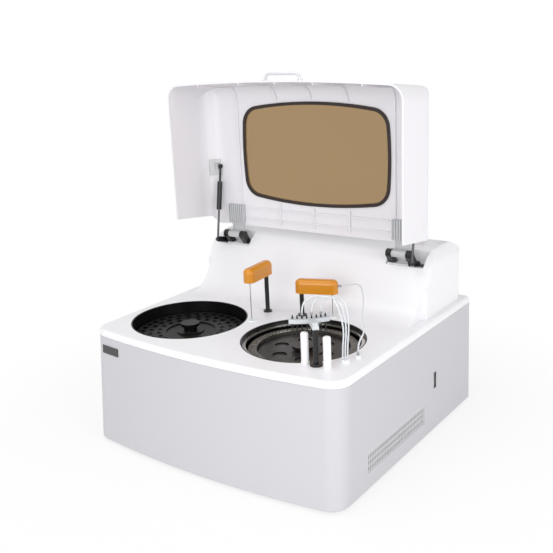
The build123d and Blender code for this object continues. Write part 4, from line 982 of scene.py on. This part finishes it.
def probe_tube_route():
    """Control points of the probe's tube: out of the arm's end, over the wash head, and down into the port."""
    reach = ARM_REACH + ARM_END_RADIUS
    tip = along(RIGHT_POST, RIGHT_ARM_ANGLE, reach) / MM
    middle_z = RIGHT_ARM_MIDDLE_Z / MM
    port = PROBE_PORT / MM
    port_top = PORT_TOP_Z / MM
    return route([
        (tip.x + 0.3, tip.y + 0.1, middle_z),
        (tip.x + 16, tip.y + 5, middle_z + 2),
        (tip.x + 38, tip.y + 3, middle_z + 9),
        (tip.x + 66, tip.y - 14, middle_z + 18),
        (tip.x + 96, tip.y - 48, middle_z + 18),
        (tip.x + 124, tip.y - 92, middle_z + 6),
        (tip.x + 146, tip.y - 138, middle_z - 12),
        (port.x + 3, port.y + 26, middle_z - 30),
        (port.x, port.y, port_top + 28),
        (port.x, port.y, port_top),
    ])


class ANALYZER_OT_lid(AnalyzerOperator):
    """Lid shell, window and handle."""
    bl_idname = "analyzer.lid"
    bl_label = "Lid"

    def make(self, context):
        dress("lid_shell", lid_finish())
        dress("window_gasket", coated("gasket_rubber", colours().gasket, roughness=0.55, drift=0.3, grain=500.0,
                                      dust=0.05))
        dress("window_pane", clear("window_amber", colours().window, 0.06, 0.9, ior=1.49, drift=0.08))
        dress("lid_handle", coated("handle_coat", tone(222, 223, 226), roughness=0.3, wear=0.2,
                                   constants={"Metallic": 0.3}))


class ANALYZER_OT_hinges(AnalyzerOperator):
    """Hinge plates, ears, leaves and their screws."""
    bl_idname = "analyzer.hinges"
    bl_label = "Hinges"

    def make(self, context):
        dress("hinge_plates", bracket_finish(), edge=0.5 * MM)
        dress("hinge_ears", black_finish())
        dress("hinge_leaves", leaf_finish())
        self.add_screws()

    def add_screws(self):
        low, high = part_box("hinge_plates")
        plan = sizes()
        head = screw_mesh(plan.screw_radius)
        row = (HINGE_SCREWS - 1) * plan.screw_step
        y, z = high.y - plan.screw_back, low.z + plan.plate_thickness
        for side, x in (("left", low.x + plan.screw_side), ("right", high.x - plan.screw_side - row)):
            screws = repeat(f"hinge_screws_{side}", head.copy(), row_tree(), {
                "Count": HINGE_SCREWS, "First": (x, y, z), "Step": (plan.screw_step, 0.0, 0.0),
                "Finish": steel_finish()})
            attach(screws, node_body("hinge_plates"))


class ANALYZER_OT_struts(AnalyzerOperator):
    """Gas struts and their brackets."""
    bl_idname = "analyzer.struts"
    bl_label = "Gas struts"

    def make(self, context):
        for side in ("left", "right"):
            dress(f"strut_rod_{side}", coated("rod_dark", tone(88, 88, 92), roughness=0.18, drift=0.1,
                                              constants={"Metallic": 1.0}))
            dress(f"strut_body_{side}", black_finish())
        dress("strut_floor_brackets", black_finish())
        dress("strut_lid_brackets", leaf_finish())


class ANALYZER_OT_inside(AnalyzerOperator):
    """Parts inside the case."""
    bl_idname = "analyzer.inside"
    bl_label = "Inside"

    def make(self, context):
        for node in ("module_plate", "power_supply"):
            keep(node, sheet_finish())
        keep("plate_pillars", steel_finish())
        keep("control_board", coated("board_mask", tone(24, 92, 52), roughness=0.35, drift=0.3, drift_scale=60.0))


# ------------------------------------------------------------------ stage
FLOOR_REACH = 12.0
FLOOR_TONE = (0.86, 0.86, 0.86, 1.0)
WHITE = (1.0, 1.0, 1.0, 1.0)
FADE_START = 0.45
FADE_END = 1.1
FADE_LOW = 0.78
LAMP_TARGET = (0.0, 0.0, 0.35)
LAMP_SIZE = 1.8
SENSOR_WIDTH = 36.0
LAMPS = (
    ("key_lamp", (-0.5, -0.6, 2.6), "key_power"),
    ("fill_lamp", (0.5, -2.6, 1.0), "fill_power"),
    ("side_lamp", (2.6, -0.9, 1.1), "side_power"),
)


def pale_floor():
    """A pale floor that shows white to the camera and keeps a soft shadow."""
    material = bpy.data.materials.new("pale_floor")
    material.use_nodes = True
    tree = material.node_tree
    tree.nodes.clear()
    output = put(tree, "ShaderNodeOutputMaterial")
    matt = put(tree, "ShaderNodeBsdfDiffuse", {"Color": FLOOR_TONE})
    glow = put(tree, "ShaderNodeEmission", {"Color": WHITE, "Strength": 1.0})
    mix = put(tree, "ShaderNodeMixShader")
    rays = put(tree, "ShaderNodeLightPath")
    seen = math_step(tree, "MAXIMUM", (rays, "Is Camera Ray"), (rays, "Is Glossy Ray"))
    seen_through = math_step(tree, "MAXIMUM", (seen, 0), (rays, "Is Transmission Ray"))
    place = put(tree, "ShaderNodeTexCoord")
    distance = put(tree, "ShaderNodeVectorMath", operation="LENGTH")
    join(tree, place, "Object", distance, 0)
    fade = put(tree, "ShaderNodeMapRange", {"From Min": FADE_START, "From Max": FADE_END, "To Min": FADE_LOW,
                                            "To Max": 1.0}, interpolation_type="SMOOTHSTEP")
    join(tree, distance, "Value", fade, "Value")
    share = math_step(tree, "MULTIPLY", (seen_through, 0), (fade, 0))
    join(tree, share, 0, mix, 0)
    join(tree, matt, "BSDF", mix, 1)
    join(tree, glow, "Emission", mix, 2)
    join(tree, mix, "Shader", output, "Surface")
    return material


def set_world(strength):
    world = bpy.data.worlds.new("studio")
    bpy.context.scene.world = world
    world.use_nodes = True
    tree = world.node_tree
    tree.nodes.clear()
    output = put(tree, "ShaderNodeOutputWorld")
    light = put(tree, "ShaderNodeBackground", {"Color": WHITE, "Strength": strength})
    white = put(tree, "ShaderNodeBackground", {"Color": WHITE, "Strength": 1.0})
    mix = put(tree, "ShaderNodeMixShader")
    rays = put(tree, "ShaderNodeLightPath")
    seen = math_step(tree, "MAXIMUM", (rays, "Is Camera Ray"), (rays, "Is Transmission Ray"))
    join(tree, seen, 0, mix, 0)
    join(tree, light, "Background", mix, 1)
    join(tree, white, "Background", mix, 2)
    join(tree, mix, "Shader", output, "Surface")


def add_lamp(name, place, target, size, power):
    data = bpy.data.lights.new(name, "AREA")
    data.shape = "DISK"
    data.size = size
    data.energy = power
    lamp = bpy.data.objects.new(name, data)
    bpy.context.scene.collection.objects.link(lamp)
    lamp.location = place
    lamp.rotation_mode = "QUATERNION"
    lamp.rotation_quaternion = (Vector(target) - Vector(place)).to_track_quat("-Z", "Y")


def add_camera(stage):
    data = bpy.data.cameras.new("camera")
    data.sensor_width = SENSOR_WIDTH
    data.lens = stage.lens
    camera = bpy.data.objects.new("camera", data)
    bpy.context.scene.collection.objects.link(camera)
    level = math.cos(stage.elevation)
    back = Vector((math.sin(stage.azimuth) * level, -math.cos(stage.azimuth) * level, math.sin(stage.elevation)))
    right = Vector((math.cos(stage.azimuth), math.sin(stage.azimuth), 0.0))
    upward = back.cross(right)
    turned_right = right * math.cos(stage.roll) + upward * math.sin(stage.roll)
    turned_up = upward * math.cos(stage.roll) - right * math.sin(stage.roll)
    place = Vector(stage.target) + back * stage.distance
    axes = Matrix((turned_right, turned_up, back)).transposed().to_4x4()
    camera.matrix_world = Matrix.Translation(place) @ axes
    bpy.context.scene.camera = camera


class ANALYZER_OT_stage(AnalyzerOperator):
    """Floor, lamps, sky and camera."""
    bl_idname = "analyzer.stage"
    bl_label = "Stage"

    def make(self, context):
        stage = context.scene.analyzer_stage
        reach = FLOOR_REACH
        corners = [(-reach, -reach, 0.0), (reach, -reach, 0.0), (reach, reach, 0.0), (-reach, reach, 0.0)]
        mesh = bpy.data.meshes.new("floor")
        mesh.from_pydata(corners, [], [(0, 1, 2, 3)])
        floor = link("floor", mesh)
        paint(floor, pale_floor())
        set_world(stage.sky)
        for name, place, setting in LAMPS:
            add_lamp(name, place, LAMP_TARGET, LAMP_SIZE, getattr(stage, setting))
        add_camera(stage)
        context.scene.view_settings.view_transform = "Standard"


class ANALYZER_PT_panel(bpy.types.Panel):
    """The steps and their settings."""
    bl_label = "Analyzer"
    bl_idname = "ANALYZER_PT_panel"
    bl_space_type = "VIEW_3D"
    bl_region_type = "UI"
    bl_category = "Analyzer"

    def draw(self, context):
        for step in steps:
            self.layout.operator(step.bl_idname)
        for name in ("analyzer_colours", "analyzer_sizes", "analyzer_stage"):
            group = getattr(context.scene, name)
            for setting in group.__annotations__:
                self.layout.prop(group, setting)


groups = (AnalyzerColours, AnalyzerSizes, AnalyzerStage)
steps = (
    ANALYZER_OT_case,
    ANALYZER_OT_side_details,
    ANALYZER_OT_cover,
    ANALYZER_OT_wells,
    ANALYZER_OT_arms,
    ANALYZER_OT_wash_station,
    ANALYZER_OT_tubes,
    ANALYZER_OT_lid,
    ANALYZER_OT_hinges,
    ANALYZER_OT_struts,
    ANALYZER_OT_inside,
    ANALYZER_OT_stage,
)


def register():
    for item in (*groups, *steps, ANALYZER_PT_panel):
        bpy.utils.register_class(item)
    bpy.types.Scene.analyzer_colours = PointerProperty(type=AnalyzerColours)
    bpy.types.Scene.analyzer_sizes = PointerProperty(type=AnalyzerSizes)
    bpy.types.Scene.analyzer_stage = PointerProperty(type=AnalyzerStage)


def unregister():
    del bpy.types.Scene.analyzer_colours
    del bpy.types.Scene.analyzer_sizes
    del bpy.types.Scene.analyzer_stage
    for item in reversed((*groups, *steps, ANALYZER_PT_panel)):
        bpy.utils.unregister_class(item)


def main():
    register()
    bpy.ops.analyzer.stage()
    bpy.ops.analyzer.tubes()
    bpy.ops.analyzer.case()
    bpy.ops.analyzer.side_details()
    bpy.ops.analyzer.cover()
    bpy.ops.analyzer.wells()
    bpy.ops.analyzer.arms()
    bpy.ops.analyzer.wash_station()
    bpy.ops.analyzer.lid()
    bpy.ops.analyzer.hinges()
    bpy.ops.analyzer.struts()
    bpy.ops.analyzer.inside()


if __name__ == "__main__":
    main()
